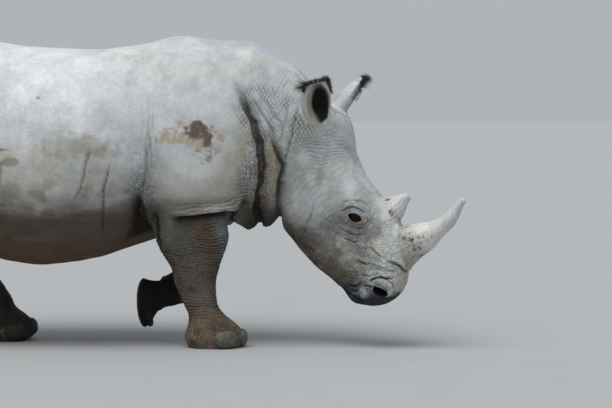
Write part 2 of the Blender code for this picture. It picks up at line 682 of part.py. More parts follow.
def build():
    for item in list(bpy.data.objects):
        bpy.data.objects.remove(item, do_unlink=True)
    head, legs, bodies = head_shape(), leg_shapes(), body_meshes()

    # parting surfaces, each with a copy set back by the gap
    throat = {grow: half_space(f"cut_throat_{grow}", THROAT_CUT, THROAT_AHEAD, grow) for grow in (0.0, GAP)}
    chest = {grow: half_space(f"cut_chest_{grow}", CHEST_CUT, (1, 0, 0), grow) for grow in (0.0, GAP)}
    nodes = {name: copy_of(bodies[grade], name) for name, grade in BODY_NODES.items()}
    carve(nodes["head"], throat[0.0], "INTERSECT")
    carve(nodes["neck"], throat[GAP], "DIFFERENCE")
    carve(nodes["neck"], chest[0.0], "INTERSECT")
    carve(nodes["trunk"], chest[GAP], "DIFFERENCE")

    for name, (centre, radii, dome, shoulder, skirt, flare) in LEG_BELLS.items():
        carve(nodes[name], bell(f"cut_{name}", centre, radii, dome, shoulder, skirt, flare), "INTERSECT")
        grown = bell(f"cut_{name}_grown", centre, radii, dome, shoulder, skirt, flare, GAP)
        carve(nodes["trunk"], grown, "DIFFERENCE")
        for nail in nails(f"nail_{name}", legs[name][0], *FEET[name]):
            nodes[nail.name] = nail
            carve(nodes[name], grown_copy(nail, f"{nail.name}_bed", GAP), "DIFFERENCE")

    for name, side in SIDES.items():
        eye = ball(f"eye_{name}", eye_centre(head, side), (EYE_RADIUS,) * 3, segments=12, rings=7)
        nodes[eye.name] = eye
        carve(nodes["head"], grown_copy(eye, f"eye_{name}_socket", GAP), "DIFFERENCE")
        tip = ear_root(name) + EARS[name][-1][0] * unit(EAR_TURNS[name][0])
        ends = np.stack([ear_root(name), tip])
        low, high = ends.min(axis=0) - EAR_ROOM, ends.max(axis=0) + EAR_ROOM
        nodes[f"ear_{name}"] = net_object(f"ear_{name}", ear_shape(name), low, high, EAR_STEP, EAR_TRIANGLES)

    muzzle = head_point(0.70, 0.3, 0)
    for name, (stations, cap, step, triangles) in HORNS.items():
        horn = horn_shape(stations, cap)
        nodes[name] = net_object(name, horn, muzzle - HORN_ROOM, muzzle + HORN_ROOM, step, triangles)
    nodes["tail"] = net_object("tail", Tube(TAIL_PATH, TAIL_RADII), *TAIL_BOX, TAIL_STEP, TAIL_TRIANGLES)
    fitted = {"fine": ("ear_right", "ear_left", "horn_front", "horn_rear"), "coarse": ("tail",)}
    for grade, names in fitted.items():
        grown = grown_copy(bodies[grade], f"body_{grade}_grown", 2 * GAP)
        for name in names:
            carve(nodes[name], grown, "DIFFERENCE")

    skin = material("hide", (0.47, 0.45, 0.42), 0.75)
    horn = material("horn", (0.36, 0.34, 0.31), 0.55)
    nail_finish = material("nail", (0.22, 0.20, 0.18), 0.6)
    eye_finish = material("eye", (0.03, 0.02, 0.015), 0.1)
    for name, item in nodes.items():
        finish = {"horn": horn, "nail": nail_finish, "eye": eye_finish}.get(name.split("_")[0], skin)
        item.data.materials.clear()
        item.data.materials.append(finish)
        item.name = name
    for item in nodes.values():
        item.hide_render = False
        item.display_type = "TEXTURED"
    for item in bpy.data.objects:
        item.location = (-BASE_CENTRE[0], -BASE_CENTRE[1], -SOLE_LEVEL)


build()
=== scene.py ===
"""Looks of the life-size white rhinoceros: one wrinkled hide, eyes, horns, nails and tufts of hair.

The shapes repeat those of the solids, in metres in the animal's own frame, where X = 0 is the middle of the
right fore sole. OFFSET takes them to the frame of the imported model. The hide is the zero surface of one
distance, meshed finer on neck, head and legs; every corner then moves along its normal by folds and wrinkles.
"""

import math

import bmesh
import bpy
import numpy as np
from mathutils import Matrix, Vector


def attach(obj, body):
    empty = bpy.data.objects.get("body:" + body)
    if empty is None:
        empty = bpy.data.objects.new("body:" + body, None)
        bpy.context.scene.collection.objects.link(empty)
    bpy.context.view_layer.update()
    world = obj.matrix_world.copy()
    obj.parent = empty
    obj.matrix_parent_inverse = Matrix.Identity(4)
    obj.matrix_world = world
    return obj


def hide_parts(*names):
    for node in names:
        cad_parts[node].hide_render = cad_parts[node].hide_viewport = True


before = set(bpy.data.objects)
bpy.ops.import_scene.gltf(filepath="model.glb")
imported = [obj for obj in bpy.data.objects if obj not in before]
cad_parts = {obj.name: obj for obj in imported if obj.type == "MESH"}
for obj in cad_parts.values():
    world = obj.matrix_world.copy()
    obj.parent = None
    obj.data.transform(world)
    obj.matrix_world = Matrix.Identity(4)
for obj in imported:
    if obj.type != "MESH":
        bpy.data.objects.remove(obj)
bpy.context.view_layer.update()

OFFSET = np.array([0.338, 0.0, -0.0015])
HIDE_STEP = 0.009  # between the corners of the hide's grid
FRINGE_HAIRS = 1800  # on each ear
TUFT_HAIRS = 1400
LASH_HAIRS = 46  # on each eye
FAR = 1.0  # distance given to places that a shape can't reach

# ---- stations: (along, low, high, half width and, if not 0, sideways shift) across a bar ----
TRUNK = (
    (-1.48, 0.62, 1.578, 0.41),
    (-1.22, 0.475, 1.592, 0.49),
    (-0.93, 0.416, 1.568, 0.54),
    (-0.65, 0.455, 1.553, 0.54),
    (-0.4, 0.53, 1.583, 0.475),
    (-0.17, 0.585, 1.624, 0.43),
    (0.03, 0.62, 1.58, 0.38),
    (0.16, 0.655, 1.566, 0.34, -0.005),
)
NECK = (
    (0.02, 0.68, 1.57, 0.34, -0.01),
    (0.2, 0.648, 1.572, 0.315, -0.02),
    (0.33, 0.66, 1.515, 0.285, -0.04),
    (0.43, 0.76, 1.45, 0.235, -0.055),
    (0.53, 0.9, 1.35, 0.185, -0.075),
)
HEAD = (
    (-0.06, -0.22, 0.15, 0.15),
    (0.05, -0.29, 0.205, 0.185),
    (0.22, -0.33, 0.165, 0.195),
    (0.36, -0.345, 0.16, 0.195),
    (0.5, -0.335, 0.19, 0.18),
    (0.64, -0.295, 0.215, 0.155),
    (0.77, -0.235, 0.19, 0.14),
    (0.88, -0.195, 0.135, 0.135),
)
FRONT_HORN = (  # along = height over the face, low and high = towards poll and muzzle
    (0.1, 0.655, 0.89, 0.1),
    (0.17, 0.66, 0.885, 0.098),
    (0.25, 0.675, 0.862, 0.085),
    (0.32, 0.7, 0.85, 0.07),
    (0.39, 0.72, 0.823, 0.052),
    (0.5, 0.708, 0.782, 0.037),
    (0.575, 0.682, 0.722, 0.02),
)
REAR_HORN = (
    (0.14, 0.495, 0.66, 0.075),
    (0.2, 0.5, 0.655, 0.07),
    (0.26, 0.515, 0.62, 0.05),
    (0.315, 0.525, 0.575, 0.026),
)
EARS = {  # along = root to tip, low = back, high = towards the opening
    "right": ((0.0, -0.032, 0.028, 0.022), (0.04, -0.042, 0.034, 0.05), (0.08, -0.046, 0.036, 0.07),
              (0.13, -0.046, 0.034, 0.082), (0.2, -0.04, 0.026, 0.083), (0.256, -0.028, 0.014, 0.064)),
    "left": ((0.0, -0.038, 0.034, 0.036), (0.05, -0.044, 0.038, 0.052), (0.11, -0.046, 0.038, 0.068),
             (0.17, -0.046, 0.036, 0.07), (0.225, -0.038, 0.03, 0.058), (0.28, -0.02, 0.016, 0.032)),
}
EAR_HOLLOWS = {
    "right": ((0.018, 0.01, 0.06, 0.006), (0.065, -0.008, 0.1, 0.04), (0.12, -0.019, 0.1, 0.06),
              (0.19, -0.016, 0.1, 0.064), (0.246, -0.003, 0.1, 0.04)),
    "left": ((0.045, 0.006, 0.06, 0.01), (0.08, -0.01, 0.1, 0.034), (0.12, -0.019, 0.1, 0.049),
             (0.18, -0.016, 0.1, 0.047), (0.25, -0.003, 0.1, 0.024)),
}
EAR_CAPS = {"right": 0.014, "left": 0.008}
EAR_REACH = 0.45  # no ear reaches farther than this from its root
EAR_SHIFT = {-1: (0.0, 0.0, -0.025), 1: (-0.03, 0.0, 0.0)}
FEET = {  # middle of the sole, up from it and towards the toes
    "foreleg_right": ((0.0, -0.17, 0.0), (0, 0, 1), (1, 0, 0)),
    "foreleg_left": ((-0.4, 0.19, 0.195), (1, 0, 0.03), (0.03, 0, -1)),
    "hindleg_right": ((-1.7, -0.2, 0.0), (0.03, 0, 1), (1, 0, -0.03)),
    "hindleg_left": ((-1.125, 0.13, 0.0), (-0.2, 0, 1), (1, 0, 0.2)),
}
EAR_TURNS = {  # direction of the ear, and of its opening
    "right": ((-0.02, -0.36, 0.93), (0.46, -0.88, 0.0)),
    "left": ((0.58, 0.14, 0.8), (0.96, 0.28, 0.0)),
}
SIDES = {"right": -1, "left": 1}
SOLE_LEVEL = 0.0015
TAIL_PATH = ((-1.8, 0, 1.38), (-1.905, 0, 1.25), (-1.95, 0, 1.05), (-1.945, 0, 0.85), (-1.93, 0, 0.66))
TAIL_RADII = (0.075, 0.055, 0.036, 0.03, 0.034)
HORN_POWER = 2.1  # of the superellipse that the sections of a horn follow
EYE_RADIUS = 0.033
EYE_PLACE = (0.53, 0.072)  # u and v on the head
EYE_STANDS_OUT = 0.009
NAIL_TURNS = (-62, 0, 62)  # degrees from the middle toe
NAIL_POWER = 0.86  # under 1 makes the half-egg squarish
# middle of a nail over the sole, its height over the hide, and its radii outwards, up and across
STANDING_NAIL = (0.05, 0.013, (0.034, 0.046, 0.06))
HANGING_NAIL = (0.022, 0.002, (0.022, 0.017, 0.04))

# feet and shanks standing on their soles: along = height, low = rear, high = front, shift = outwards
FORELEG = (
    (0.0, -0.135, 0.135, 0.135),
    (0.05, -0.158, 0.158, 0.148),
    (0.12, -0.142, 0.11, 0.135),
    (0.17, -0.14, 0.05, 0.112),
    (0.21, -0.157, 0.02, 0.1),
    (0.27, -0.183, 0.008, 0.094),
    (0.34, -0.21, 0.006, 0.1),
    (0.42, -0.23, 0.026, 0.108, 0.01),
    (0.5, -0.28, 0.055, 0.12, 0.02),
    (0.57, -0.32, 0.078, 0.13, 0.035),
    (0.74, -0.335, 0.085, 0.14, 0.06),
)
LIFTED_FOOT = (  # the left forefoot hanging toes down: low = heel, high = toes
    (0.0, -0.152, 0.136, 0.125),
    (0.03, -0.142, 0.116, 0.125),
    (0.06, -0.135, 0.066, 0.115),
    (0.09, -0.132, 0.03, 0.102),
    (0.13, -0.136, 0.006, 0.094),
    (0.19, -0.15, -0.004, 0.09),
)
HIND_FOOT = (
    (0.0, -0.12, 0.13, 0.12),
    (0.05, -0.14, 0.152, 0.134),
    (0.12, -0.13, 0.112, 0.12),
    (0.18, -0.125, 0.055, 0.1),
    (0.25, -0.135, 0.025, 0.088),
)
HEAD_PITCH = math.radians(62.6)
HEAD_YAW = math.radians(-17.0)
HEAD_ORIGIN = (0.492, -0.06, 1.133)


# ---- shapes as signed distances, negative inside ----
def unit(vector):
    return np.array(vector, dtype=float) / np.linalg.norm(vector)


def frame(axis, up):
    """Three unit columns: along a bar, up across it and sideways."""
    along = unit(axis)
    side = unit(np.cross(up, along))
    return np.stack([along, np.cross(along, side), side], axis=1)


def smooth_table(places, values, count=240):
    """A cubic through the values with the slopes of their neighbours, sampled evenly."""
    places, values = np.array(places), np.array(values)
    slopes = np.gradient(values, places)
    at = np.linspace(places[0], places[-1], count)
    left = np.clip(np.searchsorted(places, at, side="right") - 1, 0, len(places) - 2)
    gap = places[left + 1] - places[left]
    t = (at - places[left]) / gap
    fall = 2 * t**3 - 3 * t**2 + 1
    bend = (t**3 - 2 * t**2 + t) * slopes[left] + (t**3 - t**2) * slopes[left + 1]
    return at, values[left] * fall + values[left + 1] * (1 - fall) + gap * bend


def padded(stations):
    """Rows of five numbers, with a sideways shift of 0 where none is given."""
    return np.array([(*row, 0.0)[:5] for row in stations])


class Loft:
    """A rounded bar whose section, a superellipse, changes from station to station, with domed ends."""

    def __init__(self, stations, origin=(0, 0, 0), axis=(1, 0, 0), up=(0, 0, 1), caps=(0.1, 0.1), power=2.2,
                 waist=0.5, left=False):
        rows = padded(stations)
        self.origin, self.frame = np.array(origin, dtype=float), frame(axis, up)
        if left:
            self.frame[:, 2] *= -1
        self.ends, self.caps, self.power, self.waist = (rows[0, 0], rows[-1, 0]), caps, power, waist
        self.tables = [smooth_table(rows[:, 0], rows[:, i]) for i in range(1, 5)]

    def __call__(self, points):
        local = (points - self.origin) @ self.frame
        along = np.clip(local[:, 0], *self.ends)
        low, high, half, shift = (np.interp(along, *table) for table in self.tables)
        widest = low + (high - low) * self.waist
        rise = local[:, 1] - widest
        reach = np.where(rise > 0, high - widest, widest - low)
        over = local[:, 0] - along
        cap = np.where(over > 0, self.caps[1], self.caps[0])
        parts = np.abs(np.stack([rise / reach, (local[:, 2] - shift) / half]))
        rim = np.sum(parts**self.power, axis=0) ** (1 / self.power) + 1e-6
        ratio = np.sqrt(rim**2 + (over / cap) ** 2)
        slope = (parts / rim) ** (self.power - 1) / np.stack([reach, half]) * (rim / ratio)
        steepness = np.sqrt(np.sum(slope**2, axis=0) + (over / cap**2 / ratio) ** 2)
        return (ratio - 1) / np.maximum(steepness, 0.5 / half)


class Ellipsoid:
    def __init__(self, centre, radii, axis=(1, 0, 0), up=(0, 0, 1)):
        self.centre, self.radii, self.frame = np.array(centre, dtype=float), np.array(radii), frame(axis, up)

    def __call__(self, points):
        local = (points - self.centre) @ self.frame
        near = np.linalg.norm(local / self.radii, axis=1) + 1e-6
        return near * (near - 1) / np.linalg.norm(local / self.radii**2, axis=1).clip(1e-6)


class Tube:
    """A chain of round cones along a path."""

    def __init__(self, path, radii):
        self.path, self.radii = np.array(path, dtype=float), radii

    def __call__(self, points):
        nearest = np.full(len(points), np.inf)
        for start, end, first, last in zip(self.path, self.path[1:], self.radii, self.radii[1:]):
            step = end - start
            t = np.clip((points - start) @ step / (step @ step), 0, 1)
            gap = np.linalg.norm(points - start - t[:, None] * step, axis=1)
            nearest = np.minimum(nearest, gap - first - (last - first) * t)
        return nearest


def blend(first, second, width):
    """Union of two distances, melted together over a width."""
    share = np.clip(0.5 + 0.5 * (second - first) / width, 0, 1)
    return second * (1 - share) + first * share - width * share * (1 - share)


def head_point(u, v, w):
    """A place on the head: u from poll to muzzle, v towards the forehead, w to the animal's left."""
    u_axis, v_axis, w_axis = head_frame()
    return np.array(HEAD_ORIGIN) + u * u_axis + v * v_axis + w * w_axis


def head_frame():
    forward = np.array([math.cos(HEAD_YAW), math.sin(HEAD_YAW), 0.0])
    down = np.array([0.0, 0.0, -1.0])
    u_axis = math.cos(HEAD_PITCH) * forward + math.sin(HEAD_PITCH) * down
    v_axis = math.sin(HEAD_PITCH) * forward - math.cos(HEAD_PITCH) * down
    return u_axis, v_axis, np.cross(v_axis, u_axis)


# ---- the animal ----
def with_masses(bar, masses):
    """A bar with masses melted into it, each over its own width."""
    def shape(points):
        value = bar(points)
        for mass, width in masses:
            value = blend(value, mass(points), width)
        return value

    return shape


def trunk_shape():
    masses = []
    for side in SIDES.values():
        for place, radii, axis, width in (
            ((-1.44, side * 0.24, 1.0), (0.36, 0.4, 0.22), (1, 0, -0.35), 0.12),  # haunch
            ((-1.3, side * 0.33, 1.33), (0.17, 0.11, 0.12), (1, 0, 0), 0.14),  # hip point
            ((-0.1, side * 0.24, 1.14), (0.25, 0.37, 0.195), (1, 0, 0.15), 0.12),  # shoulder blade
            ((-0.12, side * 0.27, 0.9), (0.235, 0.2, 0.18), (1, 0, 0), 0.05),  # upper arm
        ):
            masses.append((Ellipsoid(place, radii, axis), width))
    return with_masses(Loft(TRUNK, caps=(0.43, 0.12), power=2.25, waist=0.46), masses)


def neck_shape():
    return Loft(NECK, caps=(0.15, 0.07), power=2.3, waist=0.5)


def dewlap_shape():
    """The two lobes that hang from the throat."""
    first = Ellipsoid((0.168, -0.03, 0.72), (0.056, 0.115, 0.15))
    second = Ellipsoid((0.262, -0.03, 0.73), (0.06, 0.11, 0.145))
    return lambda points: np.minimum(first(points), second(points))


def head_shape():
    u_axis, v_axis, _ = head_frame()
    skull = Loft(HEAD, HEAD_ORIGIN, u_axis, v_axis, caps=(0.1, 0.1), power=2.4, waist=0.58)
    rows = [
        ((0.595, 0.14, 0), (0.085, 0.075, 0.105), 0.04),  # seat of the rear horn
        ((0.765, 0.115, 0), (0.125, 0.1, 0.135), 0.05),  # seat of the front horn
        ((0.905, -0.025, 0), (0.088, 0.11, 0.14), 0.03),  # upper lip
        ((0.865, -0.135, 0), (0.068, 0.062, 0.1), 0.02),  # lower lip
    ]
    for side in SIDES.values():
        rows += [
            ((0.36, -0.15, side * 0.12), (0.2, 0.17, 0.085), 0.06),  # cheek
            ((0.47, 0.095, side * 0.13), (0.09, 0.048, 0.055), 0.05),  # brow
            ((0.02, 0.09, side * 0.13), (0.08, 0.09, 0.06), 0.05),  # root of the ear
        ]
    return with_masses(skull, [(Ellipsoid(head_point(*place), radii, u_axis, v_axis), width)
                               for place, radii, width in rows])


def leg_shapes():
    """Every leg by name: its shape and the width of its blend with the trunk."""
    def bent_leg(name, knee_path, radii, foot, caps):
        tube = Tube(knee_path, radii)
        hoof = Loft(foot, *FEET[name], caps, 2.4, left=name.endswith("left"))
        return lambda points: blend(tube(points), hoof(points), 0.05)

    standing = Loft(FORELEG, *FEET["foreleg_right"], caps=(0.02, 0.12), power=2.4)
    lifted = bent_leg("foreleg_left", [(-0.16, 0.22, 0.72), (-0.13, 0.19, 0.34), (-0.26, 0.19, 0.262)],
                      (0.165, 0.098, 0.07), LIFTED_FOOT, (0.048, 0.1))
    pushing = bent_leg("hindleg_right", [(-1.46, -0.25, 0.94), (-1.48, -0.26, 0.72), (-1.65, -0.24, 0.56),
                                         (-1.78, -0.22, 0.42), (-1.74, -0.2, 0.2)],
                       (0.27, 0.215, 0.155, 0.114, 0.092), HIND_FOOT, (0.02, 0.1))
    landing = bent_leg("hindleg_left", [(-1.4, 0.25, 0.92), (-1.25, 0.25, 0.72), (-1.33, 0.21, 0.55),
                                        (-1.41, 0.17, 0.41), (-1.2, 0.13, 0.19)],
                       (0.27, 0.21, 0.15, 0.112, 0.092), HIND_FOOT, (0.02, 0.1))
    return {"foreleg_right": (standing, 0.03), "foreleg_left": (lifted, 0.03),
            "hindleg_right": (pushing, 0.07), "hindleg_left": (landing, 0.07)}


def groove(points, value, ahead_at, level, half_width, depth, lowest, highest):
    """Sinks a fold that wraps the neck: its X is ahead_at at a level and falls back above and below it."""
    away = points[:, 0] - (ahead_at - 0.6 * (points[:, 2] - level) ** 2)
    fade = np.clip((points[:, 2] - lowest) / 0.12, 0, 1) * np.clip((highest - points[:, 2]) / 0.15, 0, 1)
    near = np.clip(1 - np.abs(away) / half_width, 0, 1)
    return value + depth * fade * near**2 * (3 - 2 * near)


# ---- pieces of their own ----
def ear_root(side):
    return head_point(0.01, 0.1, side * 0.142) + EAR_SHIFT[side]


def ear_forms(name):
    """The outside of an ear and its hollow."""
    root, (axis, opening) = ear_root(SIDES[name]), EAR_TURNS[name]
    outside = Loft(EARS[name], root, axis, opening, caps=(0.03, EAR_CAPS[name]), power=2.3)
    hollow = Loft(EAR_HOLLOWS[name], root, axis, opening, caps=(0.012, 0.01), power=2.2)
    return outside, hollow


def ear_shape(name):
    outside, hollow = ear_forms(name)
    return lambda points: -blend(-outside(points), hollow(points), 0.01)


def horn_shape(stations, cap):
    u_axis, v_axis, _ = head_frame()
    return Loft(stations, HEAD_ORIGIN, v_axis, u_axis, caps=(0.01, cap), power=HORN_POWER)


def surface_from(shape, start, direction, farthest=0.4):
    """The place where a line that starts inside a shape leaves it."""
    near, far = 0.0, farthest
    while far - near > 1e-5:
        middle = (near + far) / 2
        if shape(np.array([start + middle * direction]))[0] < 0:
            near = middle
        else:
            far = middle
    return start + near * direction


def eye_centre(head, side):
    outwards = side * head_frame()[2]
    return surface_from(head, head_point(*EYE_PLACE, 0), outwards) - (EYE_RADIUS - EYE_STANDS_OUT) * outwards


class Near:
    """A shape that is only worked out inside a ball, to save time."""

    def __init__(self, shape, centre, radius):
        self.shape, self.centre, self.radius = shape, np.array(centre, dtype=float), radius

    def __call__(self, points):
        value = np.full(len(points), FAR)
        close = np.sum((points - self.centre) ** 2, axis=1) < self.radius**2
        if close.any():
            value[close] = self.shape(points[close])
        return value


def eye_turn(side):
    """Three columns: along the slit of the eye, across it and outwards."""
    u_axis, v_axis, w_axis = head_frame()
    along = unit(EYE_SLIT[0] * u_axis + EYE_SLIT[1] * v_axis)
    outwards = unit(side * w_axis + 0.25 * u_axis)
    across = unit(np.cross(outwards, along))
    return np.stack([np.cross(across, outwards), across, outwards], axis=1)


EYE_SLIT = (0.76, 0.65)  # u and v of the line between the corners of the eye
LID_HALF = (0.033, 0.02)
LID_POWER = 1.7  # of the superellipse that the rims of the lids follow
LID_THICK = 0.0045
LID_GAP = 0.0006  # between the eyeball and the lids' inside
NOSTRIL_AT = (0.928, 0.002, 0.112)
NOSTRIL_RADII = (0.06, 0.042, 0.021)  # inwards, along the opening and across it
# places on the face, radii and depths under it of the pale flap that arches over a nostril
NOSTRIL_FLAP = ((0.886, -0.01, 0.006, 0.004), (0.874, 0.002, 0.011, 0.003), (0.88, 0.026, 0.0165, 0.003),
                (0.903, 0.042, 0.018, 0.004), (0.928, 0.054, 0.017, 0.004), (0.948, 0.05, 0.013, 0.004),
                (0.956, 0.036, 0.015, 0.005), (0.962, 0.02, 0.012, 0.008))


def lid_reach(local):
    """1 on the rims of the lids, less between them."""
    return np.sum(np.abs(local[:, :2] / np.array(LID_HALF)) ** LID_POWER, axis=1) ** (1 / LID_POWER)


def lids(value, points, head, side):
    """A lid shell over the eyeball with an almond slit in it."""
    centre = eye_centre(head, side)
    close = np.sum((points - centre) ** 2, axis=1) < 0.09**2
    if not close.any():
        return value
    local = (points[close] - centre) @ eye_turn(side)
    shell = np.linalg.norm(local, axis=1) - EYE_RADIUS - LID_THICK
    reach = lid_reach(local)
    slit = np.maximum((reach - 1) * LID_HALF[1], 0.004 - local[:, 2])
    value = value.copy()
    value[close] = -blend(-blend(value[close], shell, 0.016), slit, 0.003)
    return value


def nostril_shapes(side):
    """The hole of a nostril and the flap over it."""
    u_axis, v_axis, w_axis = head_frame()
    u, v, w = NOSTRIL_AT
    at = head_point(u, v, side * w)
    inwards, along = unit(side * 0.8 * w_axis + 0.5 * u_axis), unit(u_axis + 0.42 * v_axis)
    hole = Ellipsoid(at, NOSTRIL_RADII, inwards, along)
    path = [surface_from(HEAD_FORM, head_point(a, b, 0), side * w_axis) - side * under * w_axis
            for a, b, _, under in NOSTRIL_FLAP]
    return Near(hole, at, 0.15), Near(Tube(path, [row[2] for row in NOSTRIL_FLAP]), at, 0.2)


def skin_shape():
    """The flesh with ears, tail, lids and nostrils."""
    trunk, neck, head, legs = trunk_shape(), neck_shape(), head_shape(), leg_shapes()
    dewlap = Near(dewlap_shape(), (0.23, -0.03, 0.73), 0.45)
    neck_near = Near(neck, (0.25, 0, 1.05), 0.85)
    head_near = Near(head, head_point(0.42, -0.05, 0), 0.8)
    middles = {"foreleg_right": (-0.12, -0.2, 0.38), "foreleg_left": (-0.25, 0.2, 0.45),
               "hindleg_right": (-1.6, -0.25, 0.5), "hindleg_left": (-1.3, 0.2, 0.5)}
    legs_near = [(Near(leg, middles[name], 0.85), width) for name, (leg, width) in legs.items()]
    tail = Near(Tube(TAIL_PATH, TAIL_RADII), (-1.92, 0, 1.0), 0.65)
    ears = [Near(ear_shape(name), ear_root(side), EAR_REACH) for name, side in SIDES.items()]
    horns = [Near(horn_shape(stations, 0.02), head_point(0.72, 0.2, 0), 0.35)
             for stations in (FRONT_HORN, REAR_HORN)]

    def collar(points, horn, high, fall):
        """A sleeve of skin round the root of a horn, lower towards the muzzle."""
        u, v, w = head_places(points).T
        top = v - (high - fall * (u - 0.64)) - 0.004 * np.sin(61 * w + 43 * u)
        return -blend(-(horn(points) - 0.006), -top * 0.8, 0.016)

    holes, rims = [], []
    for side in SIDES.values():
        hole, rim = nostril_shapes(side)
        holes.append(hole)
        rims.append(rim)

    def shape(points):
        value = blend(trunk(points), neck_near(points), 0.09)
        value = groove(points, value, 0.262, 0.92, 0.05, 0.02, 0.55, 1.4)
        value = blend(value, dewlap(points), 0.035)
        value = blend(value, head_near(points), 0.045)
        value = groove(points, value, 0.368, 0.9, 0.045, 0.016, 0.55, 1.3)
        for leg, width in legs_near:
            value = blend(value, leg(points), width)
        value = blend(value, tail(points), 0.03)
        for ear in ears:
            value = blend(value, ear(points), 0.02)
        value = blend(value, collar(points, horns[0], 0.222, 0.25), 0.02)
        value = blend(value, collar(points, horns[1], 0.205, 0.0), 0.016)
        for rim in rims:
            value = blend(value, rim(points), 0.004)
        for hole in holes:
            value = -blend(-value, hole(points), 0.004)
        for side in SIDES.values():
            value = lids(value, points, head, side)
        return np.maximum(value, SOLE_LEVEL - points[:, 2])

    return shape


# ---- the hide's net ----
def in_chunks(shape, points, size=150000):
    if len(points) <= size:
        return shape(points)
    return np.concatenate([shape(points[i:i + size]) for i in range(0, len(points), size)])


def doubled(values):
    """A grid with a middle put between every two neighbours."""
    for axis in range(3):
        values = np.moveaxis(values, axis, 0)
        finer = np.empty((2 * len(values) - 1, *values.shape[1:]), dtype=values.dtype)
        finer[::2] = values
        finer[1::2] = (values[1:] + values[:-1]) / 2
        values = np.moveaxis(finer, 0, axis)
    return np.ascontiguousarray(values)


def softened(values):
    """Averages each value with its neighbours, so that no two sheets of a surface touch along an edge."""
    for axis in range(3):
        values = np.moveaxis(values, axis, 0)
        inner = (values[:-2] + 2 * values[1:-1] + values[2:]) / 4
        values = np.moveaxis(np.concatenate([values[:1], inner, values[-1:]]), 0, axis)
    return values


def surface_net(shape, low, high, step):
    """Corners and quads of the surface where a distance is zero; only the grid near it is worked out."""
    low = np.array(low, dtype=float)
    coarse = 4 * step
    counts = np.ceil((np.array(high) - low) / coarse).astype(int) + 1
    nodes = np.stack(np.meshgrid(*(np.arange(n) for n in counts), indexing="ij"), -1).reshape(-1, 3)
    values = in_chunks(shape, low + coarse * nodes).reshape(counts)
    for scale, margin in ((2, 2.2 * coarse), (1, 0.75 * coarse)):
        values = doubled(values)
        close = np.argwhere(np.abs(values) < margin)
        values[tuple(close.T)] = in_chunks(shape, low + scale * step * close)
    values = softened(values)
    cells = tuple(np.array(values.shape) - 1)
    keys, crossings, rings = [], [], []
    for axis in range(3):
        near, far = np.moveaxis(values, axis, 0)[:-1], np.moveaxis(values, axis, 0)[1:]
        places = np.argwhere(np.moveaxis((near < 0) != (far < 0), 0, axis))
        ahead = places.copy()
        ahead[:, axis] += 1
        first, second = values[tuple(places.T)], values[tuple(ahead.T)]
        crossing = places.astype(float)
        crossing[:, axis] += first / (first - second)
        ring = []
        for one, two in ((1, 1), (0, 1), (0, 0), (1, 0)):
            cell = places.copy()
            cell[:, (axis + 1) % 3] -= one
            cell[:, (axis + 2) % 3] -= two
            ring.append(np.ravel_multi_index(tuple(cell.T), cells))
            keys.append(ring[-1])
            crossings.append(crossing)
        ring = np.stack(ring, 1)
        rings.append(np.where((first < 0)[:, None], ring, ring[:, ::-1]))
    used, number = np.unique(np.concatenate(keys), return_inverse=True)
    crossings = np.concatenate(crossings)
    count = np.bincount(number)
    corners = np.stack([np.bincount(number, crossings[:, i]) / count for i in range(3)], axis=1)
    return low + step * corners, np.searchsorted(used, np.concatenate(rings))


def slope_of(shape, points, reach=0.0015):
    value = in_chunks(shape, points)
    slope = np.stack([in_chunks(shape, points + reach * turn) - value for turn in np.eye(3)], axis=1) / reach
    return value, slope


def settled(shape, points, rounds=2, longest=0.006):
    """Points moved onto the surface along its slope."""
    for _ in range(rounds):
        value, slope = slope_of(shape, points)
        move = -(value / np.maximum(np.sum(slope**2, axis=1), 0.3))[:, None] * slope
        length = np.linalg.norm(move, axis=1, keepdims=True)
        points = points + move * np.minimum(1, longest / np.maximum(length, 1e-9))
    return points


def corners_of(item):
    places = np.empty(3 * len(item.data.vertices))
    item.data.vertices.foreach_get("co", places)
    return places.reshape(-1, 3)


def place_corners(item, places):
    item.data.vertices.foreach_set("co", places.ravel())
    item.data.update()


def split_faces(item, wanted):
    """Cuts every face whose corners are all wanted into four."""
    mesh = bmesh.new()
    mesh.from_mesh(item.data)
    mesh.verts.ensure_lookup_table()
    edges = set()
    for face in mesh.faces:
        if all(wanted[corner.index] for corner in face.verts):
            edges.update(face.edges)
    bmesh.ops.subdivide_edges(mesh, edges=list(edges), cuts=1, use_grid_fill=True)
    mesh.to_mesh(item.data)
    mesh.free()


# ---- folds and wrinkles ----
TURNED = frame((0.62, 0.54, 0.57), (-0.35, 0.8, -0.45))  # keeps the noise's lattice off the animal's axes


class Noise:
    """Smooth noise between -1 and 1 on a lattice that repeats."""

    def __init__(self, seed, size=32):
        self.lattice, self.size = np.random.default_rng(seed).random((size,) * 3) * 2 - 1, size

    def __call__(self, points, scale):
        place = points @ TURNED / scale
        cell = np.floor(place).astype(int)
        t = place - cell
        t = t * t * t * (t * (6 * t - 15) + 10)
        total = np.zeros(len(points))
        for corner in np.ndindex(2, 2, 2):
            weight = np.prod(np.where(np.array(corner) == 1, t, 1 - t), axis=1)
            index = (cell + corner) % self.size
            total += weight * self.lattice[index[:, 0], index[:, 1], index[:, 2]]
        return total


def cracks(points, size, seed):
    """1 on the borders between the cells of a scattered pattern, 0 well inside them."""
    jitter = np.random.default_rng(seed).random((16, 16, 16, 3))
    place = points / size
    cell = np.floor(place).astype(int)
    first, second = np.full(len(points), 9.0), np.full(len(points), 9.0)
    for shift in np.ndindex(3, 3, 3):
        index = cell + np.array(shift) - 1
        turn = index % 16
        gap = np.linalg.norm(place - index - jitter[turn[:, 0], turn[:, 1], turn[:, 2]], axis=1)
        second = np.minimum(second, np.maximum(first, gap))
        first = np.minimum(first, gap)
    return np.clip(1 - (second - first) / 0.35, 0, 1)


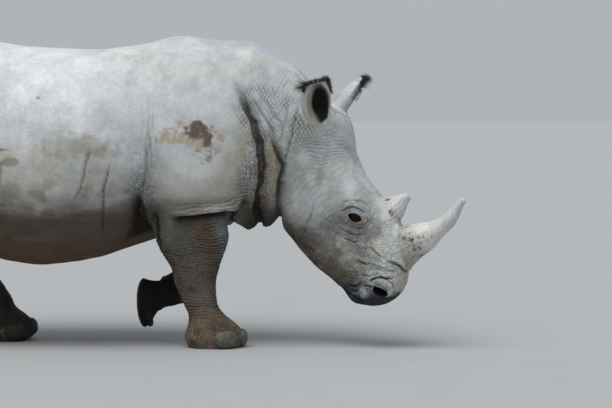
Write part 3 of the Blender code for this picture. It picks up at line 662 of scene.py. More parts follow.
def ramp(value, start, end):
    """0 at the start, 1 at the end, smooth between."""
    t = np.clip((value - start) / (end - start), 0, 1)
    return t * t * (3 - 2 * t)


def mound(*terms):
    """1 at a place and 0 well away from it; every term is a value, its middle and its width."""
    return np.exp(-sum(((value - middle) / width) ** 2 for value, middle, width in terms))


def along_path(places, path):
    """Distance from a path on a plane, positive to its left, and the share of its length reached."""
    path = np.array(path)
    lengths = np.linalg.norm(np.diff(path, axis=0), axis=1)
    starts = np.concatenate([[0], np.cumsum(lengths)])
    best, signed, share = np.full(len(places), 9.0), np.zeros(len(places)), np.zeros(len(places))
    for i, length in enumerate(lengths):
        step = path[i + 1] - path[i]
        t = np.clip((places - path[i]) @ step / length**2, 0, 1)
        gap = places - path[i] - t[:, None] * step
        distance = np.linalg.norm(gap, axis=1)
        left = np.where(step[0] * gap[:, 1] - step[1] * gap[:, 0] >= 0, 1.0, -1.0)
        closer = distance < best
        best = np.where(closer, distance, best)
        signed = np.where(closer, left * distance, signed)
        share = np.where(closer, (starts[i] + t * length) / starts[-1], share)
    return signed, share


FLAP_EDGE = ((-0.235, 0.668), (-0.213, 0.682), (-0.144, 0.694), (-0.036, 0.704), (0.078, 0.715),
             (0.149, 0.74), (0.176, 0.805))
# plane, width and depth of the line, height and reach of the roll (negative = on its right), path
CREASES = (
    ("body", 0.01, 0.034, -0.012, 0.034, ((0.1, 1.4), (0.129, 1.36), (0.165, 1.277), (0.214, 1.176),
     (0.244, 1.064), (0.253, 0.965), (0.241, 0.85), (0.222, 0.74), (0.226, 0.66), (0.232, 0.55))),
    ("body", 0.011, 0.02, 0.006, 0.03, ((0.294, 1.148), (0.344, 1.023), (0.366, 0.954), (0.352, 0.85),
     (0.34, 0.74), (0.338, 0.62))),
    ("body", 0.008, 0.007, 0.002, 0.02, ((0.19, 1.34), (0.217, 1.293), (0.273, 1.215), (0.323, 1.142),
     (0.339, 1.06))),
    ("body", 0.008, 0.007, 0.002, 0.02, ((0.451, 1.275), (0.431, 1.204), (0.411, 1.101), (0.379, 0.996),
     (0.368, 0.928))),
    ("body", 0.007, 0.004, 0.0, 0.02, ((0.24, 1.33), (0.3, 1.25), (0.352, 1.18), (0.372, 1.1))),
    ("body", 0.007, 0.004, 0.0, 0.02, ((0.4, 1.3), (0.385, 1.22), (0.362, 1.13), (0.35, 1.05))),
    ("body", 0.009, 0.026, 0.03, 0.036, FLAP_EDGE),
    ("body", 0.009, 0.016, 0.0, 0.02, ((0.16, 0.755), (0.116, 0.701), (0.092, 0.64), (0.085, 0.58))),
    ("body", 0.006, 0.008, 0.003, 0.018, ((-0.6, 1.075), (-0.618, 1.02), (-0.632, 0.945), (-0.653, 0.853),
     (-0.7, 0.77))),
    ("body", 0.006, 0.011, 0.004, 0.02, ((-0.5, 1.01), (-0.515, 0.942), (-0.542, 0.832), (-0.554, 0.709),
     (-0.565, 0.56))),
    ("body", 0.006, 0.004, 0.002, 0.022, ((-0.313, 1.3), (-0.31, 1.173), (-0.318, 1.06), (-0.326, 0.967))),
    ("body", 0.007, 0.009, 0.003, 0.02, ((-0.312, 1.1), (-0.326, 0.967), (-0.341, 0.879), (-0.362, 0.8))),
    ("body", 0.01, 0.016, 0.013, 0.032, ((-0.36, 0.85), (-0.364, 0.8), (-0.346, 0.704), (-0.319, 0.594),
     (-0.3, 0.53))),
    ("body", 0.01, 0.014, 0.0, 0.02, ((-0.3, 0.735), (-0.287, 0.681), (-0.285, 0.596), (-0.281, 0.5))),
    ("body", 0.014, 0.011, 0.006, 0.06, ((-1.06, 1.00), (-1.1, 0.86), (-1.17, 0.74), (-1.22, 0.64))),
    ("body", 0.01, 0.006, 0.003, 0.03, ((-1.66, 1.24), (-1.72, 1.08), (-1.71, 0.92), (-1.64, 0.8))),
    ("head", 0.0045, 0.009, 0.003, 0.012, ((0.47, 0.01), (0.474, 0.05), (0.484, 0.088), (0.505, 0.118),
     (0.545, 0.137))),
    ("head", 0.005, 0.004, 0.002, 0.014, ((0.438, 0.02), (0.444, 0.095), (0.475, 0.145), (0.521, 0.165))),
    ("head", 0.004, 0.008, -0.0015, 0.012, ((0.497, -0.002), (0.528, 0.004), (0.568, 0.028), (0.594, 0.062),
     (0.6, 0.1))),
    ("head", 0.004, 0.007, -0.001, 0.014, ((0.515, -0.034), (0.559, -0.022), (0.603, 0.012), (0.63, 0.06),
     (0.632, 0.1))),
    ("head", 0.004, 0.006, -0.001, 0.014, ((0.54, -0.065), (0.597, -0.045), (0.648, 0.002), (0.668, 0.06))),
    ("head", 0.005, 0.012, 0.004, 0.014, ((0.858, -0.04), (0.86, -0.005), (0.868, 0.035), (0.886, 0.07),
     (0.905, 0.108))),
    ("head", 0.005, 0.005, 0.003, 0.014, ((0.765, 0.005), (0.805, 0.045), (0.842, 0.085), (0.885, 0.122))),
    ("head", 0.006, 0.012, 0.005, 0.016, ((0.805, 0.11), (0.83, 0.132), (0.86, 0.145), (0.905, 0.15),
     (0.94, 0.15))),
    ("head", 0.004, 0.004, 0.002, 0.012, ((0.74, -0.03), (0.79, 0.01), (0.83, 0.05), (0.862, 0.095))),
    ("head", 0.004, 0.004, 0.002, 0.012, ((0.8, -0.06), (0.838, -0.01), (0.85, 0.035), (0.866, 0.06))),
    ("head", 0.006, 0.005, 0.003, 0.015, ((0.725, -0.045), (0.765, -0.012), (0.795, 0.025))),
    ("head", 0.006, 0.006, 0.003, 0.015, ((0.7, 0.06), (0.745, 0.08), (0.79, 0.105))),
    ("head", 0.0045, 0.009, 0.004, 0.012, ((0.864, -0.07), (0.878, -0.046), (0.898, -0.02))),
    ("head", 0.0045, 0.009, 0.003, 0.012, ((0.836, -0.15), (0.85, -0.115), (0.852, -0.085), (0.845, -0.055))),
    ("head", 0.004, 0.007, 0.002, 0.01, ((0.862, -0.15), (0.872, -0.12), (0.868, -0.095))),
    ("head", 0.007, 0.012, 0.0, 0.022, ((0.8, -0.225), (0.84, -0.19), (0.885, -0.155), (0.925, -0.125),
     (0.955, -0.1))),
    ("head", 0.005, 0.005, 0.0, 0.02, ((0.527, -0.31), (0.483, -0.204), (0.441, -0.144), (0.396, -0.094),
     (0.362, -0.06))),
)
JAW_LINE = ((0.2, 0.36, 0.5, 0.64, 0.77, 0.88), (-0.33, -0.345, -0.335, -0.295, -0.235, -0.195))  # u, v
LEG_TOPS = {"foreleg_right": 0.6, "foreleg_left": 0.62, "hindleg_right": 0.68, "hindleg_left": 0.68}


def leg_share(points):
    """How far a place belongs to the lower legs."""
    share = np.zeros(len(points))
    for name, (leg, _) in leg_shapes().items():
        top = LEG_TOPS[name]
        low = np.flatnonzero(points[:, 2] < 0.8)
        height = ramp(points[low, 2], top, top - 0.1)
        if name == "foreleg_right":
            beside, _ = along_path(points[low][:, [0, 2]], FLAP_EDGE[:-1])
            height = np.maximum(height, ramp(beside, 0.002, -0.008) * ramp(points[low, 0], -0.25, -0.17))
        share[low] = np.maximum(share[low], ramp(leg(points[low]), 0.06, 0.015) * height)
    return share


def head_places(points):
    u_axis, v_axis, w_axis = head_frame()
    return (points - HEAD_ORIGIN) @ np.stack([u_axis, v_axis, w_axis], axis=1)


class Hide:
    """Everything that depends on the place on the hide: its folds, wrinkles and colours."""

    def __init__(self, points, normals):
        self.points, self.normals = points, normals
        self.local = head_places(points)
        x, _, z = points.T
        self.wide, self.middle = Noise(1), Noise(2)
        self.blotch, self.spots = self.wide(points, 0.22), self.middle(points + 2.2, 0.06)
        self.leg = leg_share(points)
        u, _, w = self.local.T
        self.ear = self.ear_share()
        self.head = ramp(u, 0.0, 0.14) * ramp(np.abs(w), 0.33, 0.28) * (x > 0.34) * (z < 1.5) * (1 - self.ear)
        self.neck = ramp(x, 0.08, 0.2) * (1 - self.head) * (1 - self.leg) * ramp(z, 0.5, 0.6)
        self.neck *= ramp(z, 1.54, 1.3) * (1 - self.ear)
        self.armpit = self.armpit_share()

    def ear_share(self):
        share = np.zeros(len(self.points))
        for name, side in SIDES.items():
            rise = (self.points - ear_root(side)) @ unit(EAR_TURNS[name][0])
            outside = Near(ear_forms(name)[0], ear_root(side), EAR_REACH)(self.points)
            share = np.maximum(share, ramp(rise, 0.01, 0.06) * ramp(outside, 0.014, 0.004))
        return share

    def armpit_share(self):
        """The hollow between flank and elbow: a wedge that widens downwards."""
        x, y, z = self.points.T
        ragged = 0.01 * self.middle(self.points, 0.05)
        back = np.interp(z, (0.55, 0.706, 0.822, 0.84), (-0.47, -0.425, -0.368, -0.362)) + ragged
        front = np.interp(z, (0.55, 0.704, 0.822, 0.84), (-0.318, -0.355, -0.366, -0.362)) + ragged
        return ramp(x, back - 0.045, back + 0.07) * ramp(x, front + 0.004, front - 0.012) * ramp(
            np.abs(y), 0.12, 0.2) * ramp(z, 0.845, 0.8)

    def creases(self):
        """Sum of the moves of all folds, and how dark the painted shade along their lines is."""
        points, noise = self.points, self.middle
        ragged = np.stack([noise(points, 0.06), noise(points + 7.3, 0.06)], axis=1) * 0.006
        ragged += np.stack([noise(points + 3.1, 0.02), noise(points + 5.7, 0.02)], axis=1) * 0.0025
        planes = {"body": points[:, [0, 2]] + ragged, "head": self.local[:, :2] + ragged * 0.7}
        allowed = {"body": self.ear < 0.5}
        allowed["head"] = allowed["body"] & (self.local[:, 0] > -0.02) & (points[:, 0] > 0.3)
        move, line = np.zeros(len(points)), np.zeros(len(points))
        for plane, width, depth, roll, reach, path in CREASES:
            places, path = planes[plane], np.array(path)
            room = 3 * max(width, reach)
            near = allowed[plane] & np.all(places > path.min(axis=0) - room, axis=1)
            near &= np.all(places < path.max(axis=0) + room, axis=1)
            near = np.flatnonzero(near)
            signed, share = along_path(places[near], path)
            taper = ramp(share, 0, 0.22) * ramp(share, 1, 0.78)
            strength = taper * (1 + 0.35 * noise(points[near] + 6.1, 0.09))
            if plane == "head" and depth < 0.009:
                strength *= np.clip(0.85 + 0.9 * noise(points[near] + 2.9, 0.035), 0.15, 1.3)
            sharp = np.exp(1 - np.sqrt(1 + (1.6 * signed / width) ** 2))
            aside = signed * (1 if roll > 0 else -1)
            swell = mound((aside, 0.7 * reach, 0.6 * reach))
            under = mound((aside, 0, 2.4 * reach)) * ramp(aside, 0.1 * reach, -0.1 * reach)
            under *= abs(roll) > 0.009
            ripple = (1 - np.abs(np.sin(math.pi * signed / (1.15 * width + 0.004)))) ** 2
            ripple *= mound((signed, 0, 1.2 * reach + 0.01)) * (np.abs(signed) > 0.5 * width)
            raised = abs(roll) * (swell - 0.7 * under)
            move[near] += strength * (raised - depth * sharp - 0.16 * depth * ripple)
            fall = 0.45 if depth > 0.03 else 0.8 if depth > 0.018 else 1.4
            # painted shade along the line of the fold
            line[near] = np.maximum(line[near], strength * sharp**fall * min(1, depth / 0.013))
            # deep folds also get a band of painted shade beside the line
            if depth > 0.03:
                beside = mound((signed, 0.012, 0.0095))
                line[near] = np.maximum(line[near], np.clip(1.2 * strength, 0, 1) * beside)
        return move, np.clip(line, 0, 1)

    def ridges(self, across, spacing, power=2.0):
        """Narrow furrows at even steps of a value."""
        return (1 - np.abs(np.sin(math.pi * across / spacing))) ** power

    def furrow(self, share, depth, across, spacing, power=2.0, dirt_and_shade=0.55):
        """Sinks narrow furrows at even steps of a value, and paints shade into them."""
        deep = share * self.ridges(across, spacing, power)
        self.depth -= depth * deep
        self.dirt_and_shade = np.maximum(self.dirt_and_shade, dirt_and_shade * deep)

    def wrinkles(self):
        points, middle, wide = self.points, self.middle, self.wide
        x, y, z = points.T
        u, v, _ = self.local.T
        bend, small_bend, head_bend = middle(points, 0.07), middle(points, 0.025), middle(points, 0.04)
        patchy = np.clip(0.55 + 0.8 * middle(points + 12, 0.045), 0, 1)
        outside = ramp(np.abs(y), 0.12, 0.2)

        def wavy(value, large, small, waves=bend):
            return value + large * waves + small * small_bend

        self.depth = -0.04 * self.armpit
        self.dirt_and_shade = np.zeros(len(points))
        # rings round the legs
        lifted = (y > 0) & (x < -0.24) & (x > -0.62) & (z < 0.5)
        ring_at = wavy(np.where(lifted, x, z), 0.01, 0.003)
        strength = self.leg * np.clip(0.7 + 0.8 * wide(points, 0.13), 0.15, 1.2)
        foot = ramp(np.where(lifted, x + 0.425, z), 0.13, 0.2)
        self.furrow(strength * foot, 0.0032, ring_at, 0.0155, 1.5, 0.8)
        self.furrow(strength * foot, 0.0042, ring_at + 0.012 * bend, 0.071, 7.0, 0.6)
        # slanting wrinkles of the elbow
        elbow = mound((x, -0.25, 0.075), (z, 0.62, 0.12)) * outside
        self.furrow(elbow, 0.004, wavy(z + 0.8 * x, 0.012, 0.004), 0.02, 1.6, 0.8)
        # net of cracks
        edge = self.shoulder_edge()
        round_armpit = mound((x, -0.35, 0.075), (z, 0.84, 0.15)) * outside
        self.net = np.clip(self.neck * (0.2 + 0.45 * ramp(z, 1.25, 1.00)) + 0.9 * edge + 0.9 * round_armpit
                           + 0.5 * self.leg_top() * (1 - self.leg) + 0.12 * self.head * ramp(u, 0.25, 0.08)
                           + 0.5 * self.head * ramp(u, 0.36, 0.5) * ramp(v, 0.22, 0.12)
                           + 0.45 * self.leg, 0, 1)
        bent = points + 0.006 * np.stack([middle(points + i, 0.03) for i in (0, 11, 23)], axis=1)
        net = self.net * cracks(bent, 0.027, 5) ** 1.5
        self.depth -= 0.0032 * net
        # painted shade in the cracks of the net
        self.dirt_and_shade = np.maximum(self.dirt_and_shade, 0.42 * net)
        # long slanting wrinkles of the neck, crossing each other
        slant = self.neck * ramp(z, 0.95, 1.1) * patchy
        self.furrow(slant, 0.0038, wavy(x + 0.55 * z, 0.012, 0.004), 0.0185, 1.6, 0.68)
        self.furrow(slant, 0.0036, x - 0.6 * z + 0.012 * wide(points, 0.07), 0.0205, 1.6, 0.64)
        low_neck = np.maximum(self.neck * ramp(z, 1.1, 0.95), edge)
        self.furrow(low_neck, 0.0028, wavy(x, 0.01, 0.004), 0.018, 1.6, 0.42)
        self.furrow(edge * ramp(z, 0.95, 0.85), 0.003, wavy(z, 0.01, 0.003), 0.017, 1.6, 0.5)
        # upright wrinkles behind the shoulder
        upright = mound((x, -0.318, 0.032)) * ramp(z, 0.86, 0.95) * ramp(z, 1.38, 1.15) * outside
        self.furrow(upright, 0.003, wavy(x, 0.006, 0.003), 0.014, 1.5, 0.5)
        flank = mound((x, -0.6, 0.16), (z, 0.82, 0.15)) * outside * patchy
        self.furrow(flank, 0.0022, wavy(x + 0.15 * z, 0.01, 0.003), 0.024, 3.0, 0.3)
        thigh = ramp(x, -1.15, -1.35) * outside * ramp(z, 1.25, 1.0) * (1 - self.leg)
        thigh *= np.clip(wide(points + 5, 0.2), 0, 1)
        self.furrow(thigh, 0.0025, z - 0.4 * x + 0.012 * bend, 0.028, 2.0, 0.35)
        # large soft lumps of fat and muscle under the hide
        plain = (1 - self.head) * (1 - self.leg) * (1 - self.neck) * (1 - self.ear)
        self.depth += plain * (0.006 * wide(points, 0.3) + 0.0035 * wide(points + 4.4, 0.14))
        self.depth += 0.0018 * wide(points + 9.9, 0.07) * (1 - self.ear)
        # parallel wrinkles along the flap over the foreleg
        signed, share = along_path(points[:, [0, 2]], FLAP_EDGE[:-1])
        on_flap = ramp(signed, 0.006, 0.016) * ramp(signed, 0.09, 0.05) * ramp(share, 0.0, 0.25) * outside
        self.furrow(on_flap, 0.0038, wavy(signed, 0.008, 0.003), 0.0155, 1.3, 0.6)
        # fine folds: muzzle, chin, under the ears, round the eyes
        muzzle = ramp(u, 0.66, 0.8) * ramp(u, 0.96, 0.9) * self.head * ramp(v, -0.2, -0.1)
        self.furrow(muzzle * patchy, 0.004, wavy(u - 0.75 * v, 0.014, 0.004, head_bend), 0.0185, 1.8, 0.7)
        self.furrow(muzzle, 0.0024, wavy(u + 0.4 * v, 0.012, 0.004, head_bend), 0.027, 2.5, 0.35)
        chin = ramp(u, 0.6, 0.78) * self.head * ramp(v, -0.06, -0.16)
        self.furrow(chin, 0.003, u + 0.8 * v + 0.012 * head_bend, 0.0185, 1.8, 0.5)
        cheek = self.head * ramp(u, 0.12, 0.25) * ramp(u, 0.62, 0.5) * patchy * 0.6
        self.furrow(cheek, 0.002, wavy(u + 0.25 * v, 0.015, 0.004), 0.033, 3.0, 0.45)
        face = self.head * ramp(u, 0.55, 0.64) * ramp(u, 0.92, 0.84) * ramp(v, -0.26, -0.2)
        cross = np.clip(0.45 + 1.1 * wide(points + 21, 0.06), 0, 1)
        broken = np.clip(0.6 + 1.2 * middle(points + 31, 0.022), 0.1, 1.2)
        self.furrow(face * cross * broken, 0.0026, wavy(u - 1.1 * v, 0.018, 0.008), 0.0175, 1.6, 0.75)
        self.furrow(face * (1 - cross) * broken, 0.0024, wavy(u + 0.9 * v, 0.016, 0.008), 0.0165, 1.6,
                    0.75)
        under_ear = self.head * ramp(v, -0.05, 0.04) * ramp(v, 0.2, 0.14) * ramp(u, 0.28, 0.18)
        self.furrow(under_ear * patchy, 0.0042, wavy(u - 0.45 * v, 0.014, 0.005), 0.021, 1.6, 0.6)
        for side in SIDES.values():
            local = (points - eye_centre(HEAD_FORM, side)) @ eye_turn(side)
            away = np.linalg.norm(local[:, :2] / (1.25, 1.0), axis=1)
            close = ramp(away, 0.03, 0.038) * ramp(away, 0.095, 0.055) * self.head
            close *= np.abs(local[:, 2]) < 0.08
            low_lid = ramp(local[:, :2] @ eye_turn(side)[:, :2].T @ head_frame()[0], -0.02, 0.03)
            self.furrow(close * (0.5 + 0.5 * patchy) * (0.25 + 0.75 * low_lid), 0.0026,
                        wavy(away, 0.01, 0.005), 0.0125, 1.4, 0.78)

    def shoulder_edge(self):
        x, _, z = self.points.T
        band = mound((x, 0.19, 0.06)) * ramp(z, 1.00, 0.85) * ramp(z, 0.55, 0.65)
        return band * (1 - self.leg)

    def leg_top(self):
        x, y, z = self.points.T
        return ramp(z, 0.8, 0.7) * ramp(z, 0.42, 0.52) * ((x > -0.4) & (x < 0.2)) * ramp(np.abs(y), 0.1, 0.2)

    def moved(self):
        """The corners of the finished hide."""
        self.wrinkles()
        folds, self.line = self.creases()
        self.depth += folds
        self.depth *= ramp(self.points[:, 2], SOLE_LEVEL + 0.001, 0.03) * (1 - self.ear)
        for side in SIDES.values():
            gap = np.linalg.norm(self.points - eye_centre(HEAD_FORM, side), axis=1)
            self.depth *= ramp(gap, EYE_RADIUS + 0.004, EYE_RADIUS + 0.014)
            hole, rim = (part(self.points) for part in nostril_shapes(side))
            self.depth *= ramp(np.minimum(hole, rim + 0.001), 0.000, 0.006)
        return self.points + self.depth[:, None] * self.normals

    def tones(self):
        """Colour of every corner."""
        points = self.points
        x, y, z = points.T
        u, v, _ = self.local.T
        wide, middle, blotch, spots = self.wide, self.middle, self.blotch, self.spots
        tone = np.tile(PALE, (len(points), 1))

        def coat(colour, share):
            tone[:] += (np.array(colour) - tone) * np.clip(share, 0, 1)[:, None]

        def throat(colour, share):
            coat(colour, self.neck * share)

        def face(colour, share):
            coat(colour, self.head * share)

        def shank(colour, share):
            coat(colour, self.leg * share)

        def patchy(seed, size, low, high):
            small = 0.3 * middle(points + seed, 0.42 * size)
            return ramp(1.15 * wide(points + seed, size) + small + 0.3 * spots, low, high)

        coat(PALE_BLUE, 0.55 * patchy(1.7, 0.35, -0.1, 0.5))
        coat(TAN, 0.22 * patchy(8.1, 0.25, 0.2, 0.8))
        coat(TAN, 0.35 * patchy(41.0, 0.06, 0.3, 0.9))
        coat(MID_GREY, 0.14 * patchy(43.0, 0.09, 0.2, 0.8))
        coat(WHITE, 0.5 * patchy(31.0, 0.12, 0.2, 0.7))
        flank = 1 - self.leg
        streaks = wide(points * (0.5, 0.5, 1.6) + 3.0, 0.16)
        fine_streaks = middle(points * (0.5, 0.6, 1.8) + 6.0, 0.045)
        level = z + 0.045 * blotch + 0.02 * spots + 0.03 * streaks + 0.022 * fine_streaks
        coat(BACK_WHITE, 0.75 * ramp(x + 0.1 * blotch, -0.35, -0.8) * ramp(z + 0.06 * blotch, 1.05, 1.3))
        coat(MID_GREY, 0.62 * ramp(level, 1.12, 0.86) * flank * ramp(x, 0.0, -0.38))
        coat(LOW_GREY, 0.75 * ramp(level, 0.86, 0.74) * flank * ramp(x, -0.14, -0.42))
        coat(UNDER_GREY, 0.9 * ramp(level, 0.8, 0.66) * flank * ramp(x, 0.02, -0.2))
        band_streaks = middle(points * (0.35, 0.6, 2.0) + 14.0, 0.045)
        band_streaks += 0.6 * middle(points * (0.4, 0.6, 1.8), 0.016)
        band = z + 0.03 * band_streaks + 0.03 * blotch + 0.012 * spots
        back = flank * ramp(x, -0.36, -0.52)
        coat(BAND_DARK, 0.9 * ramp(band, 0.755, 0.69) * back)
        tanned = ramp(level, 1.12, 1.00) * ramp(level, 0.8, 0.92) * ramp(x, -0.4, -0.6)
        coat(TAN, 0.45 * tanned * flank * patchy(81.0, 0.1, -0.4, 0.4))
        coat(LOW_GREY, 0.45 * ramp(band_streaks, 0.1, 0.8) * ramp(band, 0.74, 0.66) * back)
        coat(BELLY_BROWN, 0.85 * ramp(z + 0.02 * blotch, 0.64, 0.5) * flank * ramp(x, 0.0, -0.2))
        coat(LEG_DARK, 0.45 * ramp(band_streaks, 0.1, 1.1) * ramp(band, 0.64, 0.5) * back)
        smudge = patchy(17.0, 0.1, -0.1, 0.5) * ramp(level, 0.92, 0.8) * ramp(x, -0.36, -0.5)
        coat(UNDER_GREY, 0.6 * smudge * flank)
        smeared = patchy(19.0, 0.09, 0.0, 0.8) * ramp(level, 0.95, 0.85) * ramp(z, 0.72, 0.84)
        coat(SMEAR, 0.5 * smeared * flank * ramp(x, -0.25, -0.4))
        coat(NECK_TAN, 0.35 * flank * ramp(level, 1.0, 0.8) * ramp(x, -0.25, 0.02) * (1 - self.neck))
        # painted shade: darker where the hide faces downwards
        downward_shade = ramp(-self.normals[:, 2], 0.3, 0.75) * (z < 1.1) * (1 - self.head)
        coat(UNDER_GREY, 0.9 * downward_shade * (1 - back * ramp(z, 0.64, 0.56)))
        coat(NECK_TAN, 0.55 * flank * mound((x, 0.12, 0.09), (z, 0.93, 0.15)))
        coat(OLIVE, 0.4 * flank * ramp(level, 1.08, 0.92) * ramp(x, -0.38, -0.15))
        throat(NECK_GREY, 0.85)
        throat(NECK_TAN, 0.5 * patchy(23.0, 0.08, 0.0, 0.6))
        throat(PALE, 0.8 * mound((x, 0.33, 0.07), (z, 1.2, 0.12)))
        throat(NECK_TAN, 0.75 * ramp(z + 0.08 * blotch, 1.22, 1.02) * patchy(3.9, 0.1, -0.6, 0.2))
        throat(PALE, 0.6 * mound((x, 0.33, 0.06), (z, 1.22, 0.09)))
        # the throat darker towards the bottom, with painted shade, near black, under it
        throat(UNDER_GREY, 0.85 * ramp(z + 0.04 * blotch, 0.84, 0.7))
        throat(SHADE_BLACK, 0.5 * ramp(z + 0.03 * blotch, 0.72, 0.62))
        face(HEAD_GREY, 0.85)
        face(PALE, 0.85 * mound((u, 0.38, 0.17), (v, 0.17, 0.09)))
        face(PALE, 0.45 * ramp(u, 0.3, 0.1) * ramp(v, -0.2, 0.0))
        face(HEAD_BLUE, 0.5 * patchy(21.0, 0.1, 0.0, 0.6))
        face(HEAD_BLUE, 0.8 * mound((u, 0.55, 0.1), (v, 0.03, 0.1)))
        face(FACE_DARK, 0.95 * mound((u, 0.68, 0.1), (v, 0.02, 0.11)))
        below_eye = mound((u, 0.66, 0.09), (v, 0.05, 0.09))
        face(LEG_DARK, 0.6 * below_eye * patchy(63.0, 0.035, -0.1, 0.4))
        face(PALE, 0.75 * mound((u, 0.77, 0.08), (v, 0.11, 0.06)))
        face(NECK_TAN, 0.3 * patchy(2.9, 0.07, 0.1, 0.8))
        face(NECK_TAN, 0.3 * patchy(51.0, 0.03, 0.1, 0.8))
        face(PALE, 0.25 * patchy(75.0, 0.028, 0.2, 0.8) * ramp(v, -0.15, 0.0))
        face(HEAD_BLUE, 0.35 * patchy(53.0, 0.04, 0.2, 0.7))
        jaw = v - np.interp(u, *JAW_LINE)
        jaw += 0.035 * spots + 0.05 * blotch + 0.02 * middle(points * (1, 1, 2.5), 0.05)
        face(FACE_DARK, 0.8 * ramp(jaw, 0.24, 0.1) * ramp(u, 0.22, 0.42))
        face(JAW_BROWN, 0.95 * ramp(jaw, 0.18, 0.03) * ramp(u, 0.25, 0.42))
        face(LEG_DARK, 0.6 * ramp(jaw, 0.16, 0.02) * ramp(u, 0.35, 0.5) * patchy(67.0, 0.045, -0.3, 0.7))
        face(NECK_TAN, 0.35 * ramp(jaw, 0.24, 0.1) * ramp(u, 0.35, 0.5) * patchy(69.0, 0.045, -0.1, 0.9))
        ahead = u - 0.6 * v + 0.04 * blotch + 0.03 * spots
        face(JAW_BROWN, 0.7 * ramp(ahead, 0.74, 0.86) * ramp(v, 0.0, -0.1))
        stain = patchy(27.0, 0.07, 0.1, 0.55)
        face(JAW_BROWN, 0.55 * stain * ramp(u, 0.45, 0.65) * ramp(v, 0.1, -0.1))
        face(LEG_DARK, 0.5 * patchy(29.0, 0.05, 0.2, 0.6) * ramp(u, 0.4, 0.6) * ramp(v, -0.08, -0.22))
        face(HEAD_GREY, 0.5 * ramp(u, 0.78, 0.86) * ramp(v, -0.04, 0.04))
        face(NECK_TAN, 0.35 * ramp(u, 0.8, 0.9) * ramp(v, 0.02, 0.1))
        face(PALE, 0.55 * mound((u, 0.845, 0.06), (v, 0.1, 0.05)))
        face(PALE, 0.65 * mound((u, 0.36, 0.09), (v, 0.11, 0.08)))
        face(PALE_BLUE, 0.45 * mound((u, 0.35, 0.09), (v, -0.12, 0.07)))
        face(PALE_BLUE, 0.35 * mound((u, 0.1, 0.1), (v, 0.09, 0.08)))
        ragged = 0.02 * spots + 0.016 * middle(points + 3.3, 0.03) + 0.008 * middle(points + 4.3, 0.012)
        lips = self.head * ramp(u + ragged, 0.79, 0.865)
        lips *= ramp(v - 1.05 * (u - 0.86) + ragged, -0.018, -0.085)
        coat(MUZZLE_GREY, 0.95 * lips)
        coat(HEAD_BLUE, 0.7 * lips * patchy(71.0, 0.03, -0.1, 0.4) * ramp(u, 0.95, 0.9))
        lobe = mound((u, 0.9, 0.03), (v, -0.08, 0.035))
        coat(PALE_BLUE, 0.9 * lips * lobe * patchy(73.0, 0.02, -0.9, 0.2))
        coat(MUZZLE_DARK, 0.95 * lips * ramp(u - 0.35 * v + 0.5 * ragged, 0.945, 0.972))
        coat(MUZZLE_DARK, 0.9 * lips * ramp(v - 0.55 * u + ragged, -0.6, -0.64) * ramp(u, 0.86, 0.9))
        lower = ramp(v + 0.95 * (u - 0.86) + 0.5 * ragged, -0.135, -0.17)
        face(MUZZLE_DARK, 0.9 * lower * ramp(u, 0.78, 0.84))
        corner = mound((u, 0.85, 0.03), (v, -0.135, 0.045))
        face(MUZZLE_DARK, 0.9 * ramp(corner + 0.3 * spots, 0.15, 0.6))
        face(HEAD_BLUE, 0.5 * corner * self.ridges(u - 0.6 * v + 0.006 * spots, 0.014, 1.5))
        for side in SIDES.values():
            centre = eye_centre(HEAD_FORM, side)
            local = (points - centre) @ eye_turn(side)
            reach = lid_reach(local)
            close = np.linalg.norm(local, axis=1) < 0.075
            u_axis, v_axis, _ = head_frame()
            above = ramp((points - centre) @ (0.6 * v_axis - u_axis), -0.004, 0.008)
            round_eye = np.linalg.norm(local, axis=1) < 0.12
            face(FACE_DARK, 0.55 * round_eye * ramp(reach + 0.8 * spots, 4.2, 2.6) * (1 - above))
            coat(NECK_TAN, 0.5 * close * ramp(reach + 0.4 * middle(points, 0.02), 2.6, 1.8) * (1 - above))
            coat(LID_PALE, 0.9 * close * ramp(reach + 0.5 * middle(points, 0.02), 2.2, 1.6) * above)
            coat(LID_DARK, 0.35 * close * ramp(np.abs(reach - 1.75 - 0.5 * spots), 0.35, 0.05) * (1 - above))
            # near black rim of the eye: the dark wet rim, widened under the upper lid by its painted shadow
            coat(LID_DARK, 0.98 * close * ramp(reach, 1.18 + 0.2 * above, 1.04 + 0.06 * above))
            hole, rim = (part(points) for part in nostril_shapes(side))
            below = ramp(v - 0.42 * (u - 0.93), 0.012, -0.004)
            coat(MUZZLE_DARK, 0.9 * ramp(hole + 0.006 * spots, 0.02, 0.002) * below * ramp(u, 0.9, 0.93))
            face(HEAD_GREY, 0.55 * ramp(rim + 0.005 * spots, 0.03, 0.006) * (1 - below))
            coat(NOSTRIL_PALE, ramp(rim, 0.0035, 0.0005) * ramp(hole, 0.000, 0.004))
            coat(TAN, 0.45 * ramp(rim, 0.0035, 0.0005) * ramp(hole, 0.000, 0.004) * ramp(u, 0.925, 0.955))
            coat(MUZZLE_DARK, 0.7 * ramp(np.abs(rim - 0.005 - 0.002 * spots), 0.004, 0.001) * (hole > 0.001))
            # painted shade inside the nostril
            coat(LID_DARK, 0.98 * ramp(hole, 0.0035, 0.0005))
        shank(LEG_BROWN, 0.97)
        shank(LEG_GREY, 0.8 * patchy(3.3, 0.12, -0.1, 0.4))
        shank(LEG_DARK, 0.45 * patchy(6.6, 0.1, 0.2, 0.6))
        shank(PALE_BLUE, 0.6 * ramp(x + 0.03 * spots, -0.04, 0.05) * ramp(z, 0.4, 0.58) * (y < 0))
        shank(LEG_GREY, 0.8 * ramp(z, 0.45, 0.36) * ramp(z, 0.16, 0.24) * patchy(6.9, 0.05, -0.5, 0.3))
        shank(LEG_DARK, 0.45 * ramp(z, 0.2, 0.1) * patchy(5.1, 0.05, -0.4, 0.4))
        beside, _ = along_path(points[:, [0, 2]], FLAP_EDGE[:-1])
